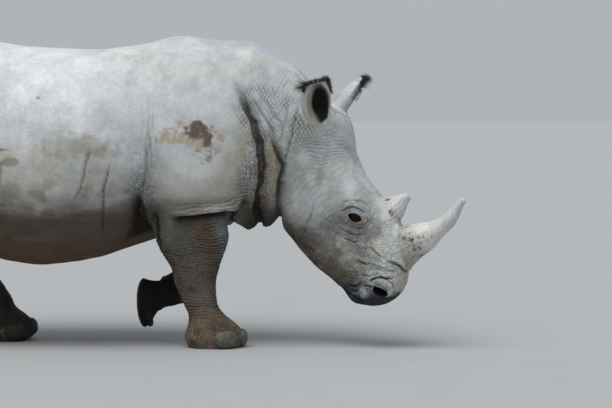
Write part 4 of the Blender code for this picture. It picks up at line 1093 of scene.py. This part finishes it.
        # painted shadow under the flap over the right foreleg
        shaded = ramp(beside, -0.045, -0.008) * (np.abs(beside) < 0.06)
        shank(SHADE_BLACK, 0.75 * shaded * ramp(x, -0.26, -0.12))
        # painted shade on the lifted far forefoot, near black
        far_leg_shade = (y > 0) * ramp(x + 0.02 * spots, -0.13, -0.25) * ramp(x, -0.68, -0.62)
        far_leg_shade *= ramp(z + 0.03 * spots, 0.52, 0.36)
        coat(FOOT_DARK, 0.95 * far_leg_shade)
        coat(LEG_BROWN, 0.45 * far_leg_shade * np.exp(-(((x + 0.437 - 1.6 * (z - 0.2) ** 2) / 0.005) ** 2)))
        # painted shade on the far hind foot
        coat(FOOT_DARK, 0.75 * ((y > 0) & (x < -0.7)) * ramp(z, 0.45, 0.2))
        coat(LEG_GREY, 0.5 * self.leg_top() * ramp(z, 0.68, 0.58) * ramp(x, -0.12, -0.22))
        grit = middle(points + 8.8, 0.013) + 0.5 * middle(points + 9.1, 0.03)
        shank(TAN, 0.35 * ramp(grit, 0.55, 0.85) * ramp(z, 0.18, 0.12) * (y < 0))
        coat(HALO, 0.8 * self.patch(-0.19, 1.12, 0.085, 0.06, -1) * ramp(grit, -0.8, 0.1))
        coat(HALO, 0.7 * self.patch(-0.055, 1.12, 0.105, 0.07, -1))
        coat(MUD, 0.6 * self.patch(-0.02, 1.02, 0.06, 0.055, -1, 0.6) * ramp(grit, 0.0, 0.4))
        mud = self.patch(-0.062, 1.138, 0.074, 0.05, -1)
        mud = np.maximum(mud, self.patch(-0.014, 1.112, 0.038, 0.046, -1))
        coat(MUD, 0.95 * mud * ramp(grit, -1.1, -0.5))
        coat(LEG_DARK, 0.5 * mud * cracks(points, 0.022, 9) ** 2)
        for colour, share, *place in PATCHES:
            coat(colour, share * self.patch(*place))
        for name, side in SIDES.items():
            outside, hollow = ear_forms(name)
            places = (points - ear_root(side)) @ outside.frame
            depth = Near(hollow, ear_root(side), EAR_REACH)(points)
            inside = ramp(depth, 0.006, 0.000) * self.ear
            ahead = places[:, 2] * np.sign(outside.frame[0, 2])
            coat(EAR_RIM, 0.5 * self.ear * ramp(depth, 0.04, 0.015) * (depth > 0))
            coat(EAR_INSIDE, 0.95 * inside)
            pit = ((ahead - 0.022) / 0.042) ** 2 + ((places[:, 0] - 0.13) / 0.11) ** 2 + 0.25 * spots
            coat(EAR_DARK, 0.5 * inside * ramp(ahead + 0.012 * spots, -0.04, 0.01))
            # painted shade in the deep pit of the ear
            coat(EAR_DARK, 0.995 * inside * ramp(pit, 1.5, 0.6))
            coat(EAR_DARK, 0.3 * inside * self.ridges(ahead + 0.004 * spots, 0.011, 1.5))
        dark_face = mound((u, 0.655, 0.05), (v, 0.1, 0.05))
        lighter = 0.5 * self.head * ramp(u, 0.45, 0.65) * (1 - 0.8 * dark_face)
        # painted shade of the furrows and cracks darkens the tone
        tone *= (1 + lighter - self.dirt_and_shade * (1 - self.ear))[:, None]
        # painted shade along the folds
        coat(SHADE_BLACK, 0.9 * self.line)
        # painted shade in the hollow behind the elbow
        coat(UNDER_GREY, 0.9 * ramp(self.armpit, 0.0, 0.7))
        coat(SHADE_BLACK, 0.97 * ramp(self.armpit, 0.35, 1.0))
        return tone

    def patch(self, at_x, at_z, half_x, half_z, side, soft=0.2):
        """A ragged patch on one flank."""
        x, y, z = self.points.T
        gap = np.sqrt(((x - at_x) / half_x) ** 2 + ((z - at_z) / half_z) ** 2)
        gap += 0.35 * self.middle(self.points + 1.1, 0.035) + 0.2 * self.middle(self.points, 0.014)
        return ramp(gap, 1.0 + soft / 2, 1.0 - soft) * (side * y > 0.1)


PALE = (0.6, 0.625, 0.645)
WHITE = (0.68, 0.68, 0.665)
PALE_BLUE = (0.44, 0.48, 0.52)
TAN = (0.55, 0.5, 0.41)
MID_GREY = (0.32, 0.315, 0.3)
LOW_GREY = (0.21, 0.195, 0.175)
UNDER_GREY = (0.105, 0.082, 0.06)
BELLY_BROWN = (0.125, 0.072, 0.038)
BACK_WHITE = (0.78, 0.8, 0.83)
BAND_DARK = (0.078, 0.06, 0.044)
NECK_GREY = (0.56, 0.6, 0.615)
NECK_TAN = (0.52, 0.45, 0.335)
OLIVE = (0.48, 0.47, 0.39)
HEAD_GREY = (0.4, 0.42, 0.415)
HEAD_BLUE = (0.22, 0.24, 0.255)
FACE_DARK = (0.185, 0.185, 0.175)
JAW_BROWN = (0.125, 0.102, 0.08)
MUZZLE_GREY = (0.105, 0.12, 0.135)
MUZZLE_DARK = (0.022, 0.024, 0.028)
LEG_BROWN = (0.285, 0.205, 0.135)
LEG_GREY = (0.225, 0.215, 0.195)
LEG_DARK = (0.045, 0.041, 0.036)
FOOT_DARK = (0.022, 0.019, 0.016)
LID_DARK = (0.01, 0.009, 0.008)
MUD = (0.175, 0.125, 0.09)
HALO = (0.46, 0.36, 0.24)
SMEAR = (0.26, 0.215, 0.165)
EAR_RIM = (0.33, 0.32, 0.28)
EAR_INSIDE = (0.5, 0.44, 0.33)
NOSTRIL_PALE = (0.36, 0.385, 0.385)
LID_PALE = (0.33, 0.37, 0.4)
EAR_DARK = (0.002, 0.002, 0.0015)
SHADE_BLACK = (0.025, 0.022, 0.018)
PATCHES = (  # colour, share, middle (x and z), half sizes, side and softness of dirt on the flanks
    (SMEAR, 0.5, -0.68, 1.06, 0.21, 0.065, -1, 0.5),
    (SMEAR, 0.35, -0.52, 1.03, 0.12, 0.035, -1, 0.5),
    (SMEAR, 0.75, -1.02, 0.985, 0.055, 0.022, -1),
    (MUD, 0.75, -1.07, 1.045, 0.045, 0.01, -1),
    (MUD, 0.8, -0.885, 1.31, 0.013, 0.01, -1),
    (SMEAR, 0.5, -1.25, 0.98, 0.17, 0.06, 1, 0.5),
    (SMEAR, 0.5, -0.45, 1.05, 0.12, 0.07, 1, 0.5),
    (SMEAR, 0.5, -1.45, 1.1, 0.14, 0.09, -1, 0.5),
)


def fine_share(points, level):
    """Where the net is cut finer: neck, head, ears and legs, then eyes and nostrils."""
    x, y, z = points.T
    if level == 0:
        head = np.linalg.norm(points - head_point(0.42, -0.02, 0), axis=1) < 0.68
        neck = (x > 0.03) & (z > 0.5) & (z < 1.45)
        leg = leg_share(points) > 0.02
        flap = (z < 0.86) & (x > -0.46) & (x < 0.25) & (np.abs(y) > 0.15)
        return (head & (x > 0.3)) | neck | leg | flap
    near = np.zeros(len(points), dtype=bool)
    for side in SIDES.values():
        for place in ((*EYE_PLACE, 0.17), (*NOSTRIL_AT[:2], 0.12)):
            centre = head_point(*place[:2], place[2] * side)
            near |= np.linalg.norm(points - centre, axis=1) < (0.085 if level == 1 else 0.045)
    return near


def make_skin():
    shape = skin_shape()
    low, high = (-2.02, -0.6, -0.02), (1.12, 0.6, 1.7)
    corners, quads = surface_net(shape, low, high, HIDE_STEP)
    item = mesh_object("hide", corners, quads.tolist())
    for level in range(3):
        split_faces(item, fine_share(corners_of(item), level))
        if level == 0:
            place_corners(item, settled(shape, corners_of(item), 1, 0.008))
    points = settled(shape, corners_of(item), 2)
    _, slope = slope_of(shape, points)
    normals = slope / np.maximum(np.linalg.norm(slope, axis=1, keepdims=True), 1e-9)
    hide = Hide(points, normals)
    place_corners(item, hide.moved() + OFFSET)
    tones = hide.tones()
    layer = item.data.attributes.new("tone", "FLOAT_COLOR", "POINT")
    layer.data.foreach_set("color", np.concatenate([tones, np.ones((len(tones), 1))], axis=1).ravel())
    add_values(item, "net", hide.net)
    add_values(item, "rings", hide.leg)
    smooth(item)
    return item


# ---- meshes ----
def mesh_object(name, corners, faces):
    mesh = bpy.data.meshes.new(name)
    mesh.from_pydata(corners.tolist(), [], faces)
    mesh.update()
    item = bpy.data.objects.new(name, mesh)
    bpy.context.collection.objects.link(item)
    return item


def add_values(item, name, values):
    item.data.attributes.new(name, "FLOAT", "POINT").data.foreach_set("value", values)


def smooth(item):
    item.data.polygons.foreach_set("use_smooth", np.ones(len(item.data.polygons), dtype=bool))
    item.data.update()


def closed_rings(name, corners, around):
    """A body of closed rings, one after another, with a face on each end."""
    count = len(corners)
    faces = []
    for start in range(0, count - around, around):
        for i in range(around):
            j = (i + 1) % around
            faces.append((start + i, start + j, start + around + j, start + around + i))
    faces += [tuple(range(around)), tuple(reversed(range(count - around, count)))]
    item = mesh_object(name, corners + OFFSET, faces)
    fix_normals(item)
    smooth(item)
    return item


def make_horn(name, stations, cap, seed):
    """A horn as closed rings, with upright fibres that fray towards its base."""
    u_axis, v_axis, w_axis = head_frame()
    rows = np.array(stations)
    tables = [smooth_table(rows[:, 0], rows[:, i]) for i in range(1, 4)]
    around, noise = 120, Noise(seed)
    tip = rows[-1, 0]
    dome = tip + cap * np.sin(np.linspace(0, 1.45, 10))
    heights = np.concatenate([np.linspace(rows[0, 0], tip, 90)[:-1], dome])
    angles = np.linspace(0, 2 * math.pi, around, endpoint=False)
    corners = []
    for height in heights:
        at = min(height, tip)
        low, high, half = (np.interp(at, *table) for table in tables)
        scale = math.sqrt(max(1 - ((height - at) / cap) ** 2, 0.0))
        middle, reach = (low + high) / 2, (high - low) / 2
        turn_u, turn_w = np.cos(angles), np.sin(angles)
        sharp = (np.abs(turn_u) ** HORN_POWER + np.abs(turn_w) ** HORN_POWER) ** (-1 / HORN_POWER)
        base = ramp(np.array(height), rows[0, 0] + 0.2, rows[0, 0] + 0.02)
        ring = np.stack([turn_u * 3, turn_w * 3, np.full(around, height * 2.0)], axis=1)
        fibres = 0.0016 * noise(ring + 5.0, 0.16) * (0.4 + base)
        fibres += 0.003 * noise(ring * (1, 1, 4), 0.5) * (0.3 + base)
        bands = 0.0012 * np.sin(height * 210 + 3 * noise(ring, 2.0)) * base
        grow = 1 + (fibres + bands) / max(min(reach, half), 0.01)
        u = middle + reach * scale * turn_u * sharp * grow
        w = half * scale * turn_w * sharp * grow
        corners.append(np.array(HEAD_ORIGIN) + u[:, None] * u_axis + height * v_axis + w[:, None] * w_axis)
    return closed_rings(name, np.concatenate(corners), around)


def fix_normals(item):
    mesh = bmesh.new()
    mesh.from_mesh(item.data)
    bmesh.ops.recalc_face_normals(mesh, faces=mesh.faces[:])
    mesh.to_mesh(item.data)
    mesh.free()


def make_nail(name, centre, radii, axes, seed):
    """A broad nail: a squarish half-egg with rough upright grain."""
    noise = Noise(seed)
    rows, around = 28, 44
    tilt = np.linspace(-math.pi / 2 + 0.05, math.pi / 2 - 0.05, rows)
    turn = np.linspace(0, 2 * math.pi, around, endpoint=False)
    corners = []
    for angle in tilt:
        flat, rise = np.cos(angle), np.sin(angle)
        ring = np.stack([flat * np.cos(turn), np.full(around, rise), flat * np.sin(turn)], 1)
        ring = np.sign(ring) * np.abs(ring) ** NAIL_POWER
        grain = 1 + 0.03 * noise(ring * (1, 0.3, 1), 0.18) + 0.03 * noise(ring, 0.6)
        corners.append(ring * grain[:, None])
    corners = np.concatenate(corners) * radii
    places = np.array(centre) + corners @ axes.T
    places[:, 2] = np.maximum(places[:, 2], SOLE_LEVEL + 0.001)
    return closed_rings(name, places, around)


def make_eye(name, side):
    """An eyeball, with its faces sorted, because bmesh gives them in another order each run."""
    turn = eye_turn(side)
    mesh = bmesh.new()
    bmesh.ops.create_uvsphere(mesh, u_segments=48, v_segments=32, radius=EYE_RADIUS - LID_GAP)
    mesh.verts.index_update()
    places = np.array([corner.co for corner in mesh.verts]) @ turn.T
    faces = []
    for face in mesh.faces:
        ring = [corner.index for corner in face.verts]
        first = ring.index(min(ring))
        faces.append(ring[first:] + ring[:first])
    mesh.free()
    item = mesh_object(name, places + eye_centre(HEAD_FORM, side) + OFFSET, sorted(faces))
    add_values(item, "look", places @ turn[:, 2] / EYE_RADIUS)
    smooth(item)
    return item


# ---- hair ----
def make_hair(name, roots, directions, lengths, radius, spots, bend, seed):
    """Tapered three-sided hairs; spots are the places of the roots on an unwrap of the skin."""
    random = np.random.default_rng(seed)
    rings = 6
    corners, faces, charts = [], [], []
    for root, direction, length, spot in zip(roots, directions, lengths, spots):
        direction = unit(direction)
        side = unit(np.cross(direction, random.normal(size=3)))
        other = np.cross(direction, side)
        curl = bend * length * (side * random.normal() * 0.5 + np.array([0, 0, -0.6]))
        first = len(corners)
        for ring in range(rings):
            t = ring / (rings - 1)
            middle = root + direction * length * t + curl * t * t
            thick = radius * (1 - 0.85 * t) * random.uniform(0.85, 1.15)
            for turn in (0, 2.094, 4.189):
                corners.append(middle + thick * (math.cos(turn) * side + math.sin(turn) * other))
                charts.append((spot[0] + 0.001 * turn / 2.1, spot[1] + 0.0028 * t))
        faces.append((first, first + 2, first + 1))
        for ring in range(rings - 1):
            for i in range(3):
                a, b = first + 3 * ring + i, first + 3 * ring + (i + 1) % 3
                faces.append((a, b, b + 3, a + 3))
        last = first + 3 * (rings - 1)
        faces.append((last, last + 1, last + 2))
    item = mesh_object(name, np.array(corners) + OFFSET, faces)
    layer = item.data.uv_layers.new(name="OFBake")
    loops = np.empty(len(item.data.loops), dtype=int)
    item.data.loops.foreach_get("vertex_index", loops)
    layer.data.foreach_set("uv", np.array(charts)[loops].ravel())
    smooth(item)
    return item


def ear_fringe(name, side, seed):
    """Hairs round the rim of an ear, densest and longest at its tip."""
    random = np.random.default_rng(seed)
    outside, _ = ear_forms(name)
    rows, cap = np.array(EARS[name]), EAR_CAPS[name]
    low, high, half = (smooth_table(rows[:, 0], rows[:, i]) for i in (1, 2, 3))
    end, ahead = rows[-1, 0], np.sign(outside.frame[0, 2])
    far = name == "left"
    roots, directions, lengths, spots = [], [], [], []
    for _ in range(FRINGE_HAIRS):
        top = random.random() < (0.35 if far else 0.58)
        edge = random.choice((-1.0, 1.0)) if far else random.choice((-1.0, 1.0), p=(0.4, 0.6))
        down = 0.115 if far else (0.028 if edge < 0 else 0.07)
        height = end + cap * 0.6 if top else end - down * random.random() ** 1.4
        at = min(height, end)
        wide = np.interp(at, *half)
        across = wide * (random.uniform(-0.95, 0.95) if top else 0.97 * edge * ahead)
        front = ahead * across / wide
        lift = random.uniform(np.interp(at, *low) * 0.35, np.interp(at, *high) * 0.9)
        share = 1.0 if top else 1 - (end - height) / down
        out = np.array([0.25 + 0.7 * share, random.normal(0.6 if far else -0.1, 0.35), 0.9 * across / wide])
        long = 0.01 * top * random.random()
        if far:
            long = 0.045 * (share > 0.65) * random.random() ** 1.5
        elif front < -0.55 and share > 0.5:
            long = 0.07 * random.random() ** 2.5
            out[0] = random.uniform(-0.05, 0.45) if long > 0.015 else out[0]
        elif front > 0.5:
            long = 0.024 * share * random.random()
        roots.append(ear_root(side) + outside.frame @ np.array([height - 0.003, lift, across]))
        directions.append(outside.frame @ (out + random.normal(0, 0.26, 3)))
        lengths.append(random.uniform(0.005, 0.012) + 0.01 * share * random.random() + long)
        spots.append((0.5 + 0.45 * across / 0.09, 0.05 + 0.9 * height / 0.3))
    return make_hair(f"fringe_{name}", roots, directions, lengths, 0.0009, spots, 0.2, seed)


def tail_tuft(seed):
    random = np.random.default_rng(seed)
    path = np.array(TAIL_PATH)
    roots, directions, lengths, spots = [], [], [], []
    for _ in range(TUFT_HAIRS):
        t = random.random() ** 0.8
        middle = path[3] + (path[4] - path[3]) * t
        angle = random.uniform(0, 2 * math.pi)
        out = np.array([math.cos(angle), math.sin(angle), 0.0])
        out[0] *= 1.5
        roots.append(middle + 0.02 * out * (1 - 0.35 * t))
        directions.append(0.25 * out + np.array([0, 0, -1.0]) + random.normal(0, 0.06, 3))
        lengths.append(min(random.uniform(0.08, 0.2), middle[2] - 0.6))
        spots.append((0.05 + 0.9 * angle / (2 * math.pi), 0.05 + 0.9 * t))
    return make_hair("tail_tuft", roots, directions, lengths, 0.0013, spots, 0.1, seed)


def lashes(name, side, seed):
    random = np.random.default_rng(seed)
    centre, turn = eye_centre(HEAD_FORM, side), eye_turn(side)
    upper = 1.0 if (turn[:, 1] @ head_frame()[0]) < 0 else -1.0
    roots, directions, lengths, spots = [], [], [], []
    for number in range(LASH_HAIRS):
        t = -0.8 + 1.6 * number / (LASH_HAIRS - 1)
        across = upper * LID_HALF[1] * (1 - abs(t) ** LID_POWER) ** (1 / LID_POWER)
        rise = math.sqrt(max((EYE_RADIUS + 0.003) ** 2 - (t * LID_HALF[0]) ** 2 - across**2, 0))
        roots.append(centre + turn @ np.array([t * LID_HALF[0], across * 1.05, rise]))
        directions.append(turn @ (np.array([0.5 * t, 0.5 * upper, 0.8]) + random.normal(0, 0.12, 3)))
        lengths.append(random.uniform(0.01, 0.017))
        spots.append((0.1 + 0.8 * number / LASH_HAIRS, 0.5))
    return make_hair(f"lashes_{name}", roots, directions, lengths, 0.0005, spots, 0.5, seed)


# ---- materials ----
class Nodes:
    """Short ways to add nodes to a material."""

    def __init__(self, name, roughness, **constant):
        self.material = bpy.data.materials.new(name)
        self.material.use_nodes = True
        self.tree = self.material.node_tree
        self.shader = self.tree.nodes["Principled BSDF"]
        self.shader.inputs["Roughness"].default_value = roughness
        for socket, value in constant.items():
            self.shader.inputs[socket.replace("_", " ")].default_value = value

    def add(self, kind, inputs=(), **settings):
        node = self.tree.nodes.new(kind)
        for key, value in settings.items():
            setattr(node, key, value)
        for socket, value in dict(inputs).items():
            self.connect(node.inputs[socket], value)
        return node

    def connect(self, socket, value):
        """Links a socket to another, or gives it a constant."""
        if isinstance(value, bpy.types.NodeSocket):
            self.tree.links.new(value, socket)
        else:
            socket.default_value = value

    def math(self, operation, first, second=0.0):
        return self.add("ShaderNodeMath", {0: first, 1: second}, operation=operation).outputs[0]

    def noise(self, place, scale, detail=4.0, rough=0.55):
        inputs = {"Vector": place, "Scale": scale, "Detail": detail, "Roughness": rough}
        return self.add("ShaderNodeTexNoise", inputs).outputs["Fac"]

    def mix(self, share, first, second):
        return self.add("ShaderNodeMix", {0: share, 6: first, 7: second}, data_type="RGBA").outputs[2]

    def scaled(self, vector, factor):
        return self.add("ShaderNodeVectorMath", {0: vector, 3: factor}, operation="SCALE").outputs[0]

    def combined(self, operation, first, second):
        return self.add("ShaderNodeVectorMath", {0: first, 1: second}, operation=operation).outputs[0]

    def stretch(self, value, low, high, to_low=0.0, to_high=1.0):
        node = self.add("ShaderNodeMapRange", {"Value": value, "From Min": low, "From Max": high,
                                               "To Min": to_low, "To Max": to_high})
        return node.outputs["Result"]

    def place(self, scale=(1, 1, 1)):
        coordinates = self.add("ShaderNodeTexCoord").outputs["Object"]
        return self.add("ShaderNodeMapping", {"Vector": coordinates, "Scale": scale}).outputs["Vector"]

    def attribute(self, name, output="Fac"):
        return self.add("ShaderNodeAttribute", attribute_name=name).outputs[output]

    def bump(self, height, distance, strength=1.0):
        inputs = {"Height": height, "Distance": distance, "Strength": strength}
        return self.add("ShaderNodeBump", inputs).outputs["Normal"]

    def paint(self, colour, normal=None):
        self.tree.links.new(colour, self.shader.inputs["Base Color"])
        if normal is not None:
            self.tree.links.new(normal, self.shader.inputs["Normal"])
        return self.material


def hide_material():
    m = Nodes("hide", 0.78)
    m.shader.inputs["Specular IOR Level"].default_value = 0.25
    place = m.place()
    net, rings, tone = m.attribute("net"), m.attribute("rings"), m.attribute("tone", "Color")
    warp = m.add("ShaderNodeTexNoise", {"Vector": place, "Scale": 35.0, "Detail": 2.0}).outputs["Color"]
    bent = m.combined("ADD", place, m.scaled(m.combined("SUBTRACT", warp, (0.5, 0.5, 0.5)), 0.016))
    flat = m.combined("MULTIPLY", bent, (1.0, 1.0, 2.2))

    def cell_edges(vector, scale):
        inputs = {"Vector": vector, "Scale": scale}
        return m.add("ShaderNodeTexVoronoi", inputs, feature="DISTANCE_TO_EDGE").outputs[0]

    skin_cells = m.stretch(cell_edges(bent, 85.0), 0.0, 0.2)
    leg_cells = m.stretch(cell_edges(flat, 72.0), 0.0, 0.2)
    small_cells = m.stretch(cell_edges(bent, 140.0), 0.0, 0.22)
    speckle = m.noise(place, 300.0, 3.0, 0.6)
    cloud = m.noise(place, 9.0, 6.0, 0.62)
    streak = m.noise(m.place((1.0, 1.0, 0.45)), 24.0, 5.0, 0.6)
    mottle = m.noise(place, 45.0, 6.0, 0.7)
    shade = m.math("ADD", m.stretch(cloud, 0.3, 0.7, 0.84, 1.1), m.stretch(streak, 0.3, 0.7, -0.06, 0.06))
    shade = m.math("ADD", shade, m.stretch(mottle, 0.3, 0.7, -0.09, 0.09))
    shade = m.math("ADD", shade, m.stretch(speckle, 0.3, 0.7, -0.05, 0.05))
    crack = m.math("MULTIPLY", m.math("SUBTRACT", 1.0, skin_cells), m.stretch(net, 0.0, 0.8, 0.03, 0.3))
    scale_line = m.math("MULTIPLY", m.math("SUBTRACT", 1.0, leg_cells), m.stretch(rings, 0.0, 1.0, 0.0, 0.4))
    shade = m.math("SUBTRACT", shade, m.math("MAXIMUM", crack, scale_line))
    colour = m.scaled(tone, shade)
    height = m.math("ADD", m.math("MULTIPLY", skin_cells, m.stretch(net, 0.0, 0.8, 0.1, 1.0)),
                    m.math("MULTIPLY", leg_cells, rings))
    height = m.math("ADD", height, m.math("MULTIPLY", small_cells, 0.18))
    height = m.math("ADD", height, m.math("MULTIPLY", speckle, 0.25))
    return m.paint(colour, m.bump(height, 0.0045, 1.0))


def horn_material(name):
    """Dull horn: mud near the base, worn bluish at the tip; rise is the height over the face."""
    m = Nodes(name, 0.55)
    place = m.place()
    fibres = m.noise(m.add("ShaderNodeMapping", {"Vector": place, "Rotation": (0.0, 0.95, 0.0),
                                                 "Scale": (150.0, 150.0, 12.0)}).outputs[0], 1.0, 3.0)
    rise = m.attribute("rise")
    dirt_and_shade, coarse = m.noise(place, 30.0, 6.0, 0.7), m.noise(place, 9.0, 3.0, 0.5)
    low, middle = m.stretch(rise, 0.42, 0.2), m.stretch(rise, 0.62, 0.5)
    pale = m.mix(m.stretch(coarse, 0.35, 0.65), (0.68, 0.69, 0.68, 1), (0.58, 0.54, 0.47, 1))
    rough = m.mix(m.stretch(coarse, 0.4, 0.6), (0.4, 0.365, 0.31, 1), (0.31, 0.32, 0.3, 1))
    pale = m.mix(low, pale, rough)
    spots = m.math("MULTIPLY", m.stretch(dirt_and_shade, 0.5, 0.6), m.stretch(coarse, 0.4, 0.55))
    stained = m.mix(m.math("MULTIPLY", spots, middle), pale, (0.105, 0.072, 0.05, 1))
    worn = m.mix(m.stretch(rise, 0.62, 0.8), stained, (0.58, 0.61, 0.62, 1))
    worn = m.mix(m.stretch(rise, 0.84, 0.97), worn, (0.54, 0.59, 0.63, 1))
    shade = m.stretch(fibres, 0.3, 0.7, 0.7, 1.12)
    return m.paint(m.scaled(worn, shade), m.bump(fibres, 0.0018, 0.8))


def nail_material(name, light, dark):
    m = Nodes(name, 0.7)
    place = m.place()
    grain = m.noise(m.place((1.0, 1.0, 0.25)), 160.0, 4.0)
    stain = m.noise(place, 40.0, 5.0, 0.65)
    base = m.mix(m.stretch(stain, 0.35, 0.65), light, dark)
    return m.paint(m.scaled(base, m.stretch(grain, 0.3, 0.7, 0.75, 1.15)), m.bump(grain, 0.001, 0.7))


def eye_material():
    m = Nodes("eye", 0.15, Specular_IOR_Level=0.12)
    look = m.attribute("look")
    fleck = m.noise(m.place(), 260.0, 3.0)
    iris = m.mix(m.stretch(fleck, 0.35, 0.65), (0.004, 0.003, 0.002, 1), (0.01, 0.006, 0.004, 1))
    colour = m.mix(m.stretch(look, 0.945, 0.965), iris, (0.002, 0.002, 0.002, 1))
    return m.paint(colour)


def hair_material():
    m = Nodes("hair", 0.5)
    shade = m.noise(m.place(), 60.0, 3.0)
    return m.paint(m.mix(m.stretch(shade, 0.3, 0.7), (0.014, 0.015, 0.017, 1), (0.045, 0.05, 0.057, 1)))


def floor_material():
    m = Nodes("floor", 0.9)
    shade = m.noise(m.place(), 3.0, 4.0)
    return m.paint(m.mix(m.stretch(shade, 0.3, 0.7), (0.408, 0.418, 0.428, 1), (0.424, 0.434, 0.444, 1)))


# ---- scene ----
CAMERA_PLACE = (1.7465, -17.941, 1.8691)
CAMERA_TARGET = (0.8063, -0.0011, 0.7389)
LENS, SENSOR = 201.2, 36.0  # millimetres
FARTHEST_SEEN, FLOOR_SIZE = 200.0, 60
SUN_PLACE = (-1.5, -3.0, 7.0)
SUN_STRENGTH, SUN_WIDTH, SUN_COLOUR = 2.25, 45, (1.0, 0.99, 0.97)  # width in degrees
SKY_COLOUR, SKY_STRENGTH = (0.9, 0.95, 1.0, 1), 0.48
HEAD_FORM = head_shape()


def dress(item, material, slot, *nodes):
    item.data.materials.clear()
    item.data.materials.append(material)
    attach(item, "root")
    if nodes:
        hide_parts(*nodes)


def rise_of(item, stations, cap):
    places = head_places(corners_of(item) - OFFSET)[:, 1]
    first, last = stations[0][0], stations[-1][0] + cap
    add_values(item, "rise", np.clip((places - first) / (last - first), 0, 1))


FLESH = ("head", "neck", "trunk", "tail", "ear_right", "ear_left", "foreleg_right", "foreleg_left",
         "hindleg_right", "hindleg_left")
dress(make_skin(), hide_material(), "hide", *FLESH)
HORNS = (("horn_front", FRONT_HORN, 0.022, 31), ("horn_rear", REAR_HORN, 0.02, 32))  # stations, cap, seed
for name, stations, cap, seed in HORNS:
    horn = make_horn(f"{name}_fine", stations, cap, seed)
    rise_of(horn, stations, cap)
    dress(horn, horn_material(name), "horn", name)
muddy_nail = nail_material("nail", (0.15, 0.138, 0.112, 1), (0.07, 0.062, 0.048, 1))
# near black nails of the far (left) legs: painted shade
shaded_nail = nail_material("shaded_nail", (0.024, 0.021, 0.018, 1), (0.013, 0.011, 0.01, 1))
for number, (name, (leg, _)) in enumerate(leg_shapes().items()):
    sole, up, toe = FEET[name]
    up, toe = unit(up), unit(toe)
    across = np.cross(up, toe)
    for i, turn in enumerate(np.radians(NAIL_TURNS)):
        outwards = math.cos(turn) * toe + math.sin(turn) * across
        lift, rise, radii = HANGING_NAIL if name == "foreleg_left" else STANDING_NAIL
        rim = surface_from(leg, np.array(sole) + lift * up, outwards)
        axes = np.stack([outwards, up, np.cross(outwards, up)], axis=1)
        nail = make_nail(f"nail_{name}_{i + 1}_fine", rim - (radii[0] - rise) * outwards, radii, axes,
                         40 + 3 * number + i)
        dress(nail, shaded_nail if name.endswith("left") else muddy_nail, "nail", f"nail_{name}_{i + 1}")
eye_finish, hair_finish = eye_material(), hair_material()
for name, side in SIDES.items():
    dress(make_eye(f"eye_{name}_fine", side), eye_finish, "eye", f"eye_{name}")
    dress(ear_fringe(name, side, 50 + side), hair_finish, "hair")
    dress(lashes(name, side, 60 + side), hair_finish, "hair")
dress(tail_tuft(70), hair_finish, "hair")

bpy.ops.mesh.primitive_plane_add(size=FLOOR_SIZE, location=(0, 0, 0))
floor = bpy.context.object
floor.name = "floor"
floor.data.materials.append(floor_material())


def aimed(name, data, place, target):
    """A light or camera at a place, looking at a target."""
    item = bpy.data.objects.new(name, data)
    item.location = place
    item.rotation_euler = (Vector(target) - Vector(place)).to_track_quat("-Z", "Y").to_euler()
    bpy.context.collection.objects.link(item)
    return item


sun = bpy.data.lights.new("soft_sun", "SUN")
sun.energy, sun.angle, sun.color = SUN_STRENGTH, math.radians(SUN_WIDTH), SUN_COLOUR
aimed("soft_sun", sun, SUN_PLACE, (0, 0, 0))
world = bpy.data.worlds.new("studio")
world.use_nodes = True
sky = world.node_tree.nodes["Background"].inputs
sky["Color"].default_value, sky["Strength"].default_value = SKY_COLOUR, SKY_STRENGTH
bpy.context.scene.world = world
bpy.context.scene.view_settings.view_transform = "Standard"

camera_data = bpy.data.cameras.new("camera")
camera_data.lens, camera_data.sensor_width, camera_data.clip_end = LENS, SENSOR, FARTHEST_SEEN
bpy.context.scene.camera = aimed("camera", camera_data, CAMERA_PLACE, CAMERA_TARGET)
